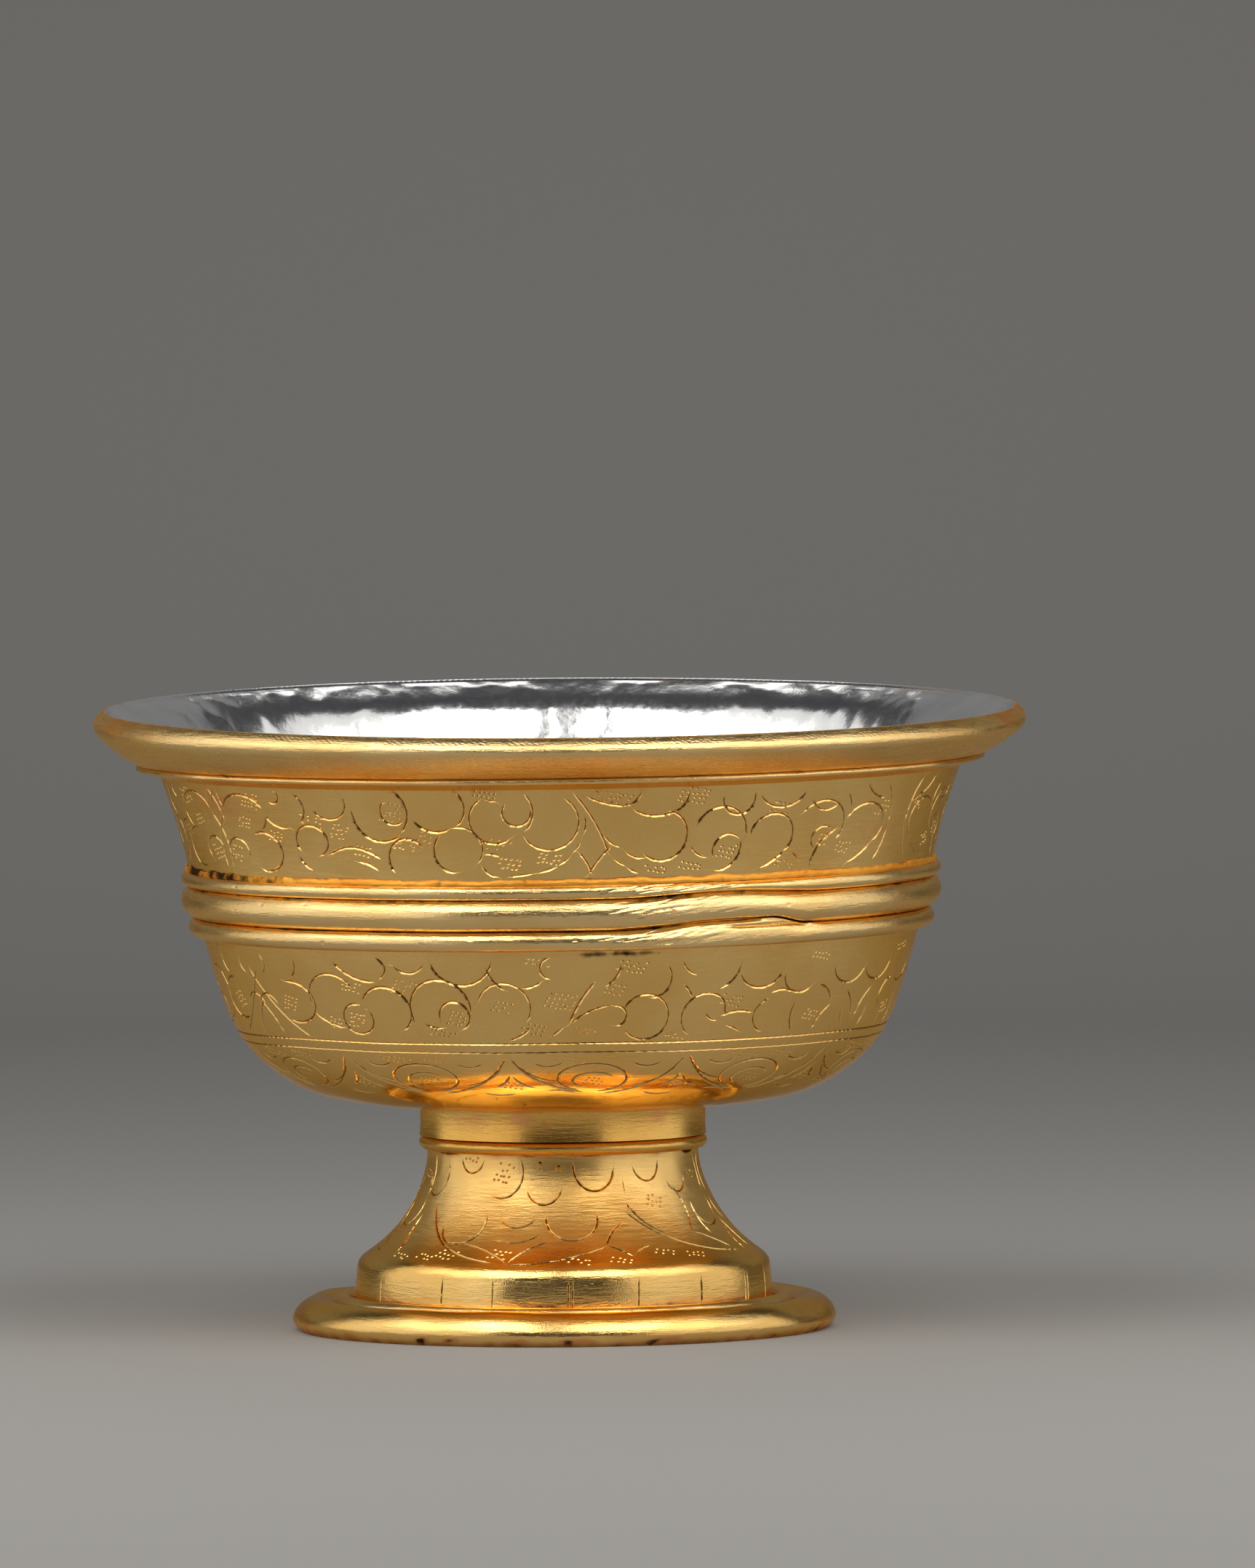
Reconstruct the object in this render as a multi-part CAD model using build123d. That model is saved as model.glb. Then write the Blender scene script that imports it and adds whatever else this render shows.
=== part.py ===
"""Footed offering bowl: a raised copper cup with a silver lining on a hollow flared foot.

Every piece is a ring or a raised sheet, so each one is drawn as a section in the XZ plane
and turned about +Z. The origin is on the ground at the middle of the base. Millimetres.
"""

import os

from build123d import *

# Sheets and seats
cup_sheet = 0.5  # raised copper of the cup
lining_sheet = 0.2  # silver pressed into the cup
foot_sheet = 0.7  # raised copper of the foot
solder_gap = 0.05  # capillary gap that solder fills at every seat

# Base flange and the bead that lies on it
flange_width = 8.5  # from the foot's band out to the widest line
flange_rest_setback = 1.1  # outer edge of the rest face, in from the widest line
flange_crest_setback = 3.1
flange_height = 4.0
flange_widest_height = 1.45
flange_crest_rise = 0.2  # the crest stands this far above the flat ledge round the foot
base_bead_inset = 0.5  # open groove between the foot and the base bead
base_bead_width = 2.4
base_bead_height = 1.0

# Foot: upright band, shoulder, flare and the tube that carries the cup
foot_lift = 0.5  # lower edge of the foot above the ground, up inside the flange
band_radius = 28.2
band_taper = 0.4  # the band draws in this much on its way up
band_tuck = 0.2  # and this much towards its lower edge
band_bulge = 0.28  # how far the band bows out from its chord
band_height = 8.0
shoulder_setback = 2.6  # the shoulder's top, in from the foot of the band
shoulder_height = 2.0
flare_height = 13.9
flare_hollow = 1.95  # how far the flare bows in from its chord
neck_radius = 18.3

# Neck rings
collar_wall = 1.05
collar_height = 4.05
collar_hollow = 0.15
neck_bead_projection = 1.15  # beyond its bore
neck_bead_height = 1.8

# Cup: the belly's radius, how far each stretch of its outer face opens, and how high it is
belly_radius = 42.8
underside_setback = 9.3  # in from the belly
underside_rise = 1.85
underside_bulge = 0.5
belly_height = 6.9
belly_bulge = 0.85
lower_wall_height = 14.75
lower_wall_bulge = 0.5
lower_wall_flare = 5.55  # out from the belly to the waist
waist_flare = 1.9  # out from the waist's bottom to its top
upper_wall_height = 12.85
upper_wall_hollow = 0.25
upper_wall_flare = 3.75  # out from the waist's top to the lip
flare_out = 7.0  # the lip flares this far beyond the wall
flare_up = 7.35
lip_trumpet = 1.5  # how far the lip bows up from its chord, so that it opens like a trumpet

# Waist rings, from the lowest up; each crest stands off the wall behind it
lower_bead_height = 2.6
lower_bead_projection = 1.7
belt_height = 4.2
belt_projection = 1.9
upper_bead_height = 1.9
upper_bead_projection = 1.3
ring_root = 0.45  # the straight foot of each ring stands this far off the wall

# Rim
rim_bead_projection = 3.3  # beyond the top of the wall
rim_bead_height = 1.7
rim_bead_nose = 0.85
rim_foot_projection = 3.4  # where the rim's lower face begins, beyond the top of the wall
rim_overhang = 2.0  # beyond the edge of the cup's lip
rim_height = 6.8
rim_nose_height = 3.4  # height of the rounded edge
rim_nose_setback = 0.8  # lower end of the rounded edge, in from the widest line
rim_crest_setback = 1.6  # top of the rounded edge, in from the widest line
rim_under_bulge = 0.25
rim_crest_slope = 0.5  # the rounded edge still rises this steeply where it meets the crest

# Solder fillets
neck_fillet = 1.5
base_fillet = 0.4
waist_fillet = 0.85  # up the wall from the upper waist bead

# Radii that follow from the sizes above
underside_radius = belly_radius - underside_setback
waist_bottom_radius = belly_radius + lower_wall_flare
waist_top_radius = waist_bottom_radius + waist_flare
wall_top_radius = waist_top_radius + upper_wall_flare
shoulder_radius = band_radius - shoulder_setback
neck_bore = neck_radius + solder_gap
collar_radius = neck_bore + collar_wall
neck_bead_radius = neck_bore + neck_bead_projection
flange_radius = band_radius + flange_width
ledge_radius = band_radius + base_bead_inset + base_bead_width
rim_bead_radius = wall_top_radius + rim_bead_projection
rim_foot_radius = wall_top_radius + rim_foot_projection
rim_radius = wall_top_radius + flare_out + rim_overhang

# Heights that follow from the stack above
ledge_z = flange_height - flange_crest_rise
band_top_z = foot_lift + band_height
shoulder_z = band_top_z + shoulder_height
neck_z = shoulder_z + flare_height
collar_z = neck_z + neck_bead_height + solder_gap
seat_z = collar_z + collar_height + solder_gap
underside_z = seat_z + underside_rise
belly_z = underside_z + belly_height
waist_z = belly_z + lower_wall_height
belt_z = waist_z + lower_bead_height + solder_gap
upper_bead_z = belt_z + belt_height + solder_gap
waist_top_z = upper_bead_z + upper_bead_height
wall_top_z = waist_top_z + upper_wall_height
rim_z = wall_top_z + rim_bead_height
top_z = rim_z + rim_height

up = Vector(0, 0, 1)
down = Vector(0, 0, -1)
outward = Vector(1, 0, 0)
inward = Vector(-1, 0, 0)


def at(radius, height):
    """A point of a section, in the XZ plane."""
    return Vector(radius, 0, height)


def square_to(direction):
    """The direction a quarter turn to the left of another, in the XZ plane."""
    return Vector(-direction.Z, 0, direction.X).normalized()


def bowed_middle(start, end, bow):
    """The middle of a chord, moved to its left by bow."""
    return (start + end) * 0.5 + square_to(end - start) * bow


def moved_line(points, tangents, distance):
    """The spline through the points, moved to its left by a distance."""
    line = Spline(*points, tangents=tangents)
    moved = [p + square_to(line.tangent_at(line.param_at_point(p))) * distance for p in points]
    return Spline(*moved, tangents=tangents)


def turned(section):
    """The solid ring that a section makes about the Z axis."""
    return revolve(section, axis=Axis.Z)


# Cup's outer face, from the seat on the foot up to the edge of the lip
seat_edge = at(collar_radius, seat_z)
underside = at(underside_radius, underside_z)
belly = at(belly_radius, belly_z)
waist_bottom = at(waist_bottom_radius, waist_z)
waist_top = at(waist_top_radius, waist_top_z)
wall_top = at(wall_top_radius, wall_top_z)
lip_edge = wall_top + Vector(flare_out, 0, flare_up)
lip_middle = bowed_middle(wall_top, lip_edge, lip_trumpet)

cup_points = [
    seat_edge,
    bowed_middle(seat_edge, underside, -underside_bulge),
    underside,
    bowed_middle(underside, belly, -belly_bulge),
    belly,
    bowed_middle(belly, waist_bottom, -lower_wall_bulge),
    waist_bottom,
    waist_top,
    bowed_middle(waist_top, wall_top, upper_wall_hollow),
    wall_top,
    lip_middle,
    lip_edge,
]
cup_tangents = [outward, lip_edge - lip_middle]


def cup_line(depth):
    """The cup's outer face in section, or a line parallel to it, depth inside the metal."""
    return moved_line(cup_points, cup_tangents, depth)


def bowl_sheet(near_depth, far_depth):
    """A raised sheet between two depths: its wall, and the flat bottom in to the axis."""
    near, far = cup_line(near_depth), cup_line(far_depth)
    bottom = [Line(at(0, (near @ 0).Z), near @ 0), Line(far @ 0, at(0, (far @ 0).Z))]
    axis_edge = Line(at(0, (far @ 0).Z), at(0, (near @ 0).Z))
    return make_face([bottom[0], near, Line(near @ 1, far @ 1), far, bottom[1], axis_edge])


lining_depth = cup_sheet + solder_gap
stack_depth = lining_depth + lining_sheet


def cup_section():
    """Raised copper sheet of the cup."""
    return bowl_sheet(0, cup_sheet)


def lining_section():
    """Silver sheet that lies inside the cup."""
    return bowl_sheet(lining_depth, stack_depth)


def room_for_cup():
    """What the rings leave free: the cup, its lining, a solder gap round them and the hollow."""
    outer = cup_line(-solder_gap)
    edge_end = outer @ 1
    along = (outer % 1) * solder_gap
    inner_end = cup_line(stack_depth) @ 1
    over_lip = inner_end + (inner_end - edge_end).normalized() * rim_height
    return make_face(
        [
            Line(at(0, (outer @ 0).Z), outer @ 0),
            outer,
            Polyline(
                edge_end, edge_end + along, over_lip + along, at(0, over_lip.Z), at(0, (outer @ 0).Z)
            ),
        ]
    )


def waist_wall_radius(height):
    """The cup's outer radius at a height on the straight wall behind the waist rings."""
    share = (height - waist_z) / (waist_top_z - waist_z)
    return waist_bottom_radius + share * (waist_top_radius - waist_bottom_radius)


def waist_ring(bottom_z, height, projection):
    """A half-round waist ring: flat sides, a rounded face, and the wall behind it cut away."""
    top_z = bottom_z + height
    low = at(waist_wall_radius(bottom_z) + ring_root, bottom_z)
    high = at(waist_wall_radius(top_z) + ring_root, top_z)
    crest = (low + high) * 0.5 + outward * (projection - ring_root)
    deep = outward * (ring_root + cup_sheet)
    blank = make_face([ThreePointArc(low, crest, high), Polyline(high, high - deep, low - deep, low)])
    return blank - room_for_cup()


def rim_bead_section():
    """Thin bead under the rim: flat top, rounded nose, underside that slopes in to the wall."""
    top = rim_z - solder_gap
    back = at(wall_top_radius - cup_sheet, wall_top_z)
    nose_top = at(rim_bead_radius - rim_bead_nose / 2, top)
    nose_tip = at(rim_bead_radius, top - rim_bead_nose / 2)
    nose_low = at(rim_bead_radius - rim_bead_nose / 2, top - rim_bead_nose)
    slope_end = at(wall_top_radius, wall_top_z)
    blank = make_face(
        [
            ThreePointArc(nose_top, nose_tip, nose_low),
            Polyline(nose_low, slope_end, back, at(back.X, top), nose_top),
        ]
    )
    return blank - room_for_cup()


def rim_section():
    """Heavy rim: lower face, rounded edge, and a rebate that holds the edge of cup and lining."""
    foot = at(rim_foot_radius, rim_z)
    crest = at(rim_radius - rim_crest_setback, top_z)
    nose_low = at(rim_radius - rim_nose_setback, top_z - rim_nose_height)
    nose_tip = at(rim_radius, top_z - rim_nose_height * 0.6)
    under_middle = bowed_middle(foot, nose_low, -rim_under_bulge)
    back = at(wall_top_radius - stack_depth, rim_z)
    lining_edge = cup_line(stack_depth) @ 1
    blank = make_face(
        [
            Line(back, foot),
            ThreePointArc(foot, under_middle, nose_low),
            Spline(nose_low, nose_tip, tangents=[nose_low - under_middle, up]),
            Spline(nose_tip, crest, tangents=[up, inward + up * rim_crest_slope]),
            Polyline(crest, lining_edge, at(back.X, lining_edge.Z), back),
        ]
    )
    return blank - room_for_cup()


# Foot's outer face, from the tube at its top down to the upright band
neck = at(neck_radius, neck_z)
shoulder = at(shoulder_radius, shoulder_z)
band_top = at(band_radius - band_taper, band_top_z)
foot_points = [neck, bowed_middle(neck, shoulder, -flare_hollow), shoulder, band_top]


def foot_section():
    """Raised copper sheet of the foot: tube, flare, shoulder and upright band."""
    outer = moved_line(foot_points, [down, down], 0)
    inner = moved_line(foot_points, [down, down], -foot_sheet)
    edge = at(band_radius - band_tuck, foot_lift)
    return make_face(
        [
            outer,
            ThreePointArc(band_top, bowed_middle(band_top, edge, band_bulge), edge),
            Polyline(edge, edge + inward * foot_sheet, inner @ 1),
            inner,
            Polyline(inner @ 0, at(neck_radius - foot_sheet, seat_z), at(neck_radius, seat_z), neck),
        ]
    )


def collar_section():
    """Collar round the tube, between the neck bead and the cup."""
    low, high = at(collar_radius, collar_z), at(collar_radius, collar_z + collar_height)
    waist = at(collar_radius - collar_hollow, collar_z + collar_height / 2)
    return make_face(
        [ThreePointArc(low, waist, high), Polyline(high, at(neck_bore, high.Z), at(neck_bore, low.Z), low)]
    )


def neck_bead_section():
    """Half-round bead that closes the lower edge of the collar."""
    root = neck_bead_radius - neck_bead_height / 2
    low, high = at(root, neck_z), at(root, neck_z + neck_bead_height)
    crest = at(neck_bead_radius, neck_z + neck_bead_height / 2)
    return make_face(
        [ThreePointArc(low, crest, high), Polyline(high, at(neck_bore, high.Z), at(neck_bore, low.Z), low)]
    )


def flange_section():
    """Base flange: flat rest face, rounded edge, domed top and a ledge round the foot."""
    bore = band_radius + solder_gap
    rest, ledge = at(flange_radius - flange_rest_setback, 0), at(ledge_radius, ledge_z)
    widest = at(flange_radius, flange_widest_height)
    crest = at(flange_radius - flange_crest_setback, flange_height)
    return make_face(
        [
            Spline(rest, widest, tangents=[outward + up, up]),
            Spline(widest, crest, tangents=[up, inward]),
            Spline(crest, ledge, tangents=[inward, ledge - crest]),
            Polyline(ledge, at(bore, ledge_z), at(bore, 0), rest),
        ]
    )


def base_bead_section():
    """Low half-round bead on the flange's ledge, clear of the foot by an open groove."""
    low_z = ledge_z + solder_gap
    low, high = at(ledge_radius - base_bead_width, low_z), at(ledge_radius, low_z)
    crest = at(ledge_radius - base_bead_width / 2, low_z + base_bead_height)
    return make_face([ThreePointArc(low, crest, high), Line(high, low)])


def neck_solder_section():
    """Solder fillet inside the tube, in the corner under the cup."""
    bore = neck_radius - foot_sheet
    corner, low, high = at(bore, seat_z), at(bore, seat_z - neck_fillet), at(bore - neck_fillet, seat_z)
    hollow = bowed_middle(low, high, neck_fillet / 5)
    return make_face([ThreePointArc(low, hollow, high), Polyline(high, corner, low)])


def waist_solder_section():
    """Full solder fillet on the upper waist bead, up along the wall, in two flats."""
    wall = cup_line(0)
    lean = wall.tangent_at(wall.param_at_point(waist_top))
    corner, toe = waist_top + outward * solder_gap, waist_top + outward * ring_root
    heel = corner + lean * waist_fillet
    swell = bowed_middle(toe, heel, -waist_fillet / 8)
    return make_face(Polyline(toe, swell, heel, corner, toe))


def base_solder_section():
    """Solder bead under the lower edge of the foot, against the flange's bore."""
    inner, outer = band_radius - foot_sheet, band_radius + solder_gap
    heel, toe = at(inner, foot_lift - base_fillet / 2), at(outer, foot_lift - base_fillet)
    hollow = bowed_middle(heel, toe, base_fillet / 5)
    return make_face(
        [
            ThreePointArc(heel, hollow, toe),
            Polyline(toe, at(outer, foot_lift), at(inner, foot_lift), heel),
        ]
    )


sections = {
    "cup": cup_section(),
    "silver_lining": lining_section(),
    "rim_moulding": rim_section(),
    "rim_bead": rim_bead_section(),
    "waist_upper_bead": waist_ring(upper_bead_z, upper_bead_height, upper_bead_projection),
    "waist_belt": waist_ring(belt_z, belt_height, belt_projection),
    "waist_lower_bead": waist_ring(waist_z, lower_bead_height, lower_bead_projection),
    "waist_solder": waist_solder_section(),
    "neck_collar": collar_section(),
    "neck_bead": neck_bead_section(),
    "foot": foot_section(),
    "base_flange": flange_section(),
    "base_bead": base_bead_section(),
    "neck_solder": neck_solder_section(),
    "base_solder": base_solder_section(),
}

os.makedirs("parts", exist_ok=True)
for name, section in sections.items():
    export_step(turned(section), f"parts/{name}.step")
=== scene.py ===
"""Footed offering bowl of gilt copper with a silver inside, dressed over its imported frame.

The bowl was raised, chased and soldered by hand, so each surface is a turned section that the
maker's unevenness then moves. Lengths are millimetres until a mesh is written. Angles round the
bowl start at the front, at -Y, and grow towards +X.
"""
import logging
import math
from collections.abc import Iterable
from dataclasses import dataclass, field
from enum import Enum
from typing import NamedTuple, Union

import bpy
import numpy as np
from mathutils import Matrix, Vector
from mathutils.geometry import delaunay_2d_cdt


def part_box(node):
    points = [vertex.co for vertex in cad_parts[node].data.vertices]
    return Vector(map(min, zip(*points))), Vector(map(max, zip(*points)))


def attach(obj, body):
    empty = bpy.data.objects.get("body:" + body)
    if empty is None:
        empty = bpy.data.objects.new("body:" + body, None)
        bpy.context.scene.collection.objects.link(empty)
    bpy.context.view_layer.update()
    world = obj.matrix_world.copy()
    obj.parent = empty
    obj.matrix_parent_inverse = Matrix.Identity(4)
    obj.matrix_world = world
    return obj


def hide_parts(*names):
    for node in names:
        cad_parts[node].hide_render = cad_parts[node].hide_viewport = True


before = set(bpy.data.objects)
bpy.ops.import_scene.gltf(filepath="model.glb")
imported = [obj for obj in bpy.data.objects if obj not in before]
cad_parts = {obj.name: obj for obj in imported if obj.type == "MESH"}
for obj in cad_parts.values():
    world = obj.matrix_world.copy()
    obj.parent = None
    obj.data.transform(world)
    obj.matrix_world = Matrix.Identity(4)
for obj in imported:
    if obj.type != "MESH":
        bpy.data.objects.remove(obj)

log = logging.getLogger("bowl")
Array = np.ndarray
Point = tuple[float, float]
Place = tuple[float, float, float]
Colour = tuple[float, float, float, float]
Values = dict[str, Array]
Thing = bpy.types.Object
Material = bpy.types.Material
Socket = bpy.types.NodeSocket
Feed = Union[Socket, float, tuple]
Random = np.random.Generator
MM = 0.001
TURN = 2.0 * math.pi
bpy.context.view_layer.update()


class Slot(Enum):
    """Material slots of the record."""

    GILT = "gilt_copper"
    SILVER = "silver"
    SOLDER = "solder"


class Span(NamedTuple):
    """How far a CAD node reaches: its radius and its lowest and highest points."""

    radius: float
    low: float
    high: float

    @classmethod
    def of(cls, node: str) -> "Span":
        """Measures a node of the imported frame."""
        low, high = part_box(node)
        return cls(high[0] / MM, low[2] / MM, high[2] / MM)


def ease(x: Array) -> Array:
    """Smooth step from 0 to 1 while x goes from 0 to 1."""
    t = np.clip(x, 0.0, 1.0)
    return t * t * (3.0 - 2.0 * t)


def bump(x: Array, middle: float, width: float) -> Array:
    """Bell of height 1 round a middle."""
    return np.exp(-(((x - middle) / width) ** 2))


def between(x: Array, start: float, rise: float, end: float, fall: float) -> Array:
    """1 between a start and an end, where it rises after the one and falls after the other."""
    return ease((x - start) / rise) * (1.0 - ease((x - end) / fall))


def spline(stations: list[Point], start: Array, end: Array, count: int) -> Array:
    """Cubic curve through stations, whose slopes solve the usual equations for a smooth bend.

    Args:
        stations: (radius, height) pairs.
        start: heading at the first station.
        end: heading at the last station.
        count: number of points to return.

    Returns:
        Points along the curve, shape (count, 2).
    """
    knots = np.asarray(stations, float)
    gaps = np.linalg.norm(np.diff(knots, axis=0), axis=1)
    marks = np.concatenate([[0.0], np.cumsum(gaps)])
    size = len(knots)
    matrix = np.eye(size)
    right = np.zeros((size, 2))
    right[0], right[-1] = start / np.linalg.norm(start), end / np.linalg.norm(end)
    inner = np.arange(1, size - 1)
    matrix[inner, inner - 1] = 1.0 / gaps[:-1]
    matrix[inner, inner] = 2.0 / gaps[:-1] + 2.0 / gaps[1:]
    matrix[inner, inner + 1] = 1.0 / gaps[1:]
    rises = np.diff(knots, axis=0) / gaps[:, None] ** 2
    right[inner] = 3.0 * (rises[:-1] + rises[1:])
    slopes = np.linalg.solve(matrix, right)
    t = np.linspace(0.0, marks[-1], count)
    k = np.clip(np.searchsorted(marks, t, "right") - 1, 0, size - 2)
    g = gaps[k, None]
    x = (t - marks[k])[:, None] / g
    near = (1 + 2 * x) * (1 - x) ** 2 * knots[k] + x * (1 - x) ** 2 * g * slopes[k]
    far = x * x * (3 - 2 * x) * knots[k + 1] - x * x * (1 - x) * g * slopes[k + 1]
    return near + far


def bowed_middle(start: Point, end: Point, bow: float) -> Point:
    """The middle of a chord, moved to its left.

    Args:
        start: first end of the chord.
        end: last end of the chord.
        bow: how far the middle is moved.

    Returns:
        The moved middle.
    """
    (x0, y0), (x1, y1) = start, end
    length = math.hypot(x1 - x0, y1 - y0)
    return (x0 + x1) / 2 - (y1 - y0) / length * bow, (y0 + y1) / 2 + (x1 - x0) / length * bow


def arc(start: Point, end: Point, bow: float, count: int) -> Array:
    """Circle arc between two points.

    Args:
        start: first point.
        end: last point.
        bow: how far the arc's middle lies to the left of the chord.
        count: number of points to return.

    Returns:
        Points along the arc, shape (count, 2).
    """
    a, b = np.asarray(start, float), np.asarray(end, float)
    length = np.linalg.norm(b - a)
    along = (b - a) / length
    left = np.array([-along[1], along[0]]) * math.copysign(1.0, bow)
    half = 2.0 * math.atan(2.0 * abs(bow) / length)
    radius = length / (2.0 * math.sin(half))
    phi = np.linspace(-half, half, count)[:, None]
    return (a + b) / 2 + along * radius * np.sin(phi) + left * radius * (np.cos(phi) - math.cos(half))


def bend(start: Array, corner: Array, end: Array, count: int) -> Array:
    """Points of the parabola that rounds a corner off."""
    share = np.linspace(0.0, 1.0, count)[:, None]
    return (1 - share) ** 2 * start + 2 * share * (1 - share) * corner + share**2 * end


def circle(columns: int) -> Array:
    """Angles of a closed loop that starts at the back."""
    return -math.pi + TURN * np.arange(columns) / columns


class SectionLine:
    """A section of a turned surface, followed by its own length, with the outside on its right."""

    def __init__(self, points: Array) -> None:
        """Measures the section.

        Args:
            points: (radius, height) pairs in order.
        """
        self.points = points
        steps = np.linalg.norm(np.diff(points, axis=0), axis=1)
        self.run = np.concatenate([[0.0], np.cumsum(steps)])
        heading = np.gradient(points, self.run, axis=0)
        heading /= np.linalg.norm(heading, axis=1)[:, None]
        self.outward = np.stack([heading[:, 1], -heading[:, 0]], axis=1)

    @property
    def length(self) -> float:
        """Length of the section."""
        return float(self.run[-1])

    def at(self, run: Array, depth: Array | float = 0.0) -> tuple[Array, Array]:
        """Follows the section.

        Args:
            run: lengths along the section.
            depth: how far inside the surface.

        Returns:
            Radius and height at the runs.
        """
        radius = np.interp(run, self.run, self.points[:, 0])
        height = np.interp(run, self.run, self.points[:, 1])
        return (
            radius - depth * np.interp(run, self.run, self.outward[:, 0]),
            height - depth * np.interp(run, self.run, self.outward[:, 1]),
        )

    def run_at(self, height: float) -> float:
        """Run at which a section that rises all the way reaches a height."""
        return float(np.interp(height, self.points[:, 1], self.run))

    def radius_at(self, height: Array) -> Array:
        """Radius of a section that rises all the way, at a height."""
        return np.interp(height, self.points[:, 1], self.points[:, 0])


@dataclass(frozen=True)
class HandWork:
    """How far the bowl is from true: its lip leans forward, its rings roll and it is not quite round.

    Attributes:
        lip_lean: how much the lip sinks at the front and rises at the back, at lip_radius.
        waist_lean: the same for the waist rings, at waist_radius.
        roll: rise of the waist and the rim bead for each mm towards +X.
        round_error: size of the error of the radius.
        waves: count round the bowl, share and phase of each wave of that error.
    """

    lip_lean: float = 1.65
    lip_radius: float = 61.0
    waist_lean: float = 0.4
    waist_radius: float = 51.0
    roll: float = 0.0078
    round_error: float = 0.05
    waves: tuple[tuple[int, float, float], ...] = ((2, 1.0, 0.7), (3, 0.6, 2.1), (5, 0.4, 0.3))
    foot_top: float = 30.0
    waist_low: float = 50.0
    rim_low: float = 76.0
    rim_high: float = 84.0

    def place(self, theta: Array, radius: Array, height: Array) -> Array:
        """Puts points of a turned surface where the maker left them.

        Args:
            theta: angle round the bowl, in radians.
            radius: distance from the axis.
            height: height above the ground.

        Returns:
            Points in mm, with a last axis of x, y and z.
        """
        lip = ease((height - self.rim_low) / (self.rim_high - self.rim_low))
        waist = ease((height - self.foot_top) / (self.waist_low - self.foot_top)) * (1.0 - lip)
        uneven = sum(share * np.cos(count * theta + phase) for count, share, phase in self.waves)
        wide = radius + self.round_error * uneven * ease(height / self.foot_top)
        x, y = wide * np.sin(theta), -wide * np.cos(theta)
        lean = self.waist_lean * y / self.waist_radius + self.roll * x
        lift = lip * self.lip_lean * y / self.lip_radius + waist * lean
        return np.stack([x, y, height + lift], axis=-1)


@dataclass(frozen=True)
class Ripple:
    """Unevenness that closes on itself round the bowl: a sum of seeded waves of a mean size and length."""

    size: float
    length: float
    radius: float
    seed: int
    waves: int = 40

    def at(self, theta: Array, run: Array) -> Array:
        """Adds up the waves, each a cosine that runs round the bowl at a slant.

        Args:
            theta: angles round the bowl.
            run: runs along a section.

        Returns:
            Height of the ripple.
        """
        rng = np.random.default_rng(self.seed)
        number = TURN / self.length * rng.uniform(0.6, 1.4, self.waves)
        slant = rng.uniform(0.0, math.pi, self.waves)
        around = np.rint(number * np.cos(slant) * self.radius)
        along = number * np.sin(slant)
        phase = rng.uniform(0.0, TURN, self.waves)
        waves = np.cos(np.multiply.outer(theta, around) + np.multiply.outer(run, along) + phase)
        return self.size * math.sqrt(2.0 / self.waves) * waves.sum(axis=-1)

    def round_at(self, theta: Array) -> Array:
        """Height of a ripple that is the same all the way up."""
        return self.at(theta, np.zeros_like(theta))


@dataclass(frozen=True)
class Stain:
    """A soft patch on a turned surface: middle angle in degrees, spread in radians, height and reach."""

    angle: float
    spread: float
    height: float
    reach: float
    strength: float = 1.0

    def at(self, theta: Array, height: Array) -> Array:
        """Strength of the stain at places of the surface."""
        around = bump(theta, math.radians(self.angle), self.spread)
        return self.strength * around * bump(height, self.height, self.reach)


class MeshDraft:
    """Vertices and faces that are gathered for one mesh."""

    def __init__(self) -> None:
        """Starts with nothing."""
        self.points: list[Array] = []
        self.faces: list[Array] = []
        self.size = 0

    def add(self, points: Array) -> Array:
        """Adds vertices.

        Args:
            points: points in mm.

        Returns:
            Indices of the new vertices.
        """
        block = np.asarray(points, float).reshape(-1, 3)
        self.points.append(block)
        self.size += len(block)
        return np.arange(self.size - len(block), self.size)

    def add_pole(self, height: float) -> Array:
        """Adds one vertex on the axis."""
        return self.add(np.array([[0.0, 0.0, height]]))

    def bridge(self, first: Array, second: Array) -> None:
        """Joins two loops by a strip; a loop of one point makes a fan.

        Args:
            first: indices of the loop that the section reaches first.
            second: indices of the next loop.
        """
        a, b = np.roll(first, -1), np.roll(second, -1)
        if len(first) == 1:
            pole = np.full_like(second, first[0])
            self.faces.append(np.stack([pole, b, second], axis=1))
        elif len(second) == 1:
            pole = np.full_like(first, second[0])
            self.faces.append(np.stack([first, a, pole], axis=1))
        else:
            self.faces.append(np.stack([first, a, b, second], axis=1))

    def extend(self, previous: Array, loops: Iterable[Array]) -> Array:
        """Adds loops one after another, each bridged to the one before.

        Args:
            previous: indices of the loop to start from.
            loops: points of each new loop.

        Returns:
            Indices of the last loop.
        """
        for points in loops:
            loop = self.add(points)
            self.bridge(previous, loop)
            previous = loop
        return previous

    def write(self, name: str, sharp: float = 38.0) -> Thing:
        """Makes the mesh object.

        Args:
            name: name of the object and its mesh.
            sharp: faces that meet at more than this angle keep a hard edge, in degrees.

        Returns:
            The new object, linked to the scene.
        """
        points = np.concatenate(self.points) * MM
        counts = np.concatenate([np.full(len(block), block.shape[1]) for block in self.faces])
        corners = np.concatenate([block.ravel() for block in self.faces])
        mesh = bpy.data.meshes.new(name)
        mesh.vertices.add(len(points))
        mesh.vertices.foreach_set("co", points.ravel())
        mesh.loops.add(len(corners))
        mesh.loops.foreach_set("vertex_index", corners)
        mesh.polygons.add(len(counts))
        mesh.polygons.foreach_set("loop_start", np.cumsum(counts) - counts)
        mesh.polygons.foreach_set("use_smooth", np.ones(len(counts), bool))
        mesh.update(calc_edges=True)
        mesh.validate()
        mesh.set_sharp_from_angle(angle=math.radians(sharp))
        piece = bpy.data.objects.new(name, mesh)
        bpy.context.scene.collection.objects.link(piece)
        return piece


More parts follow.
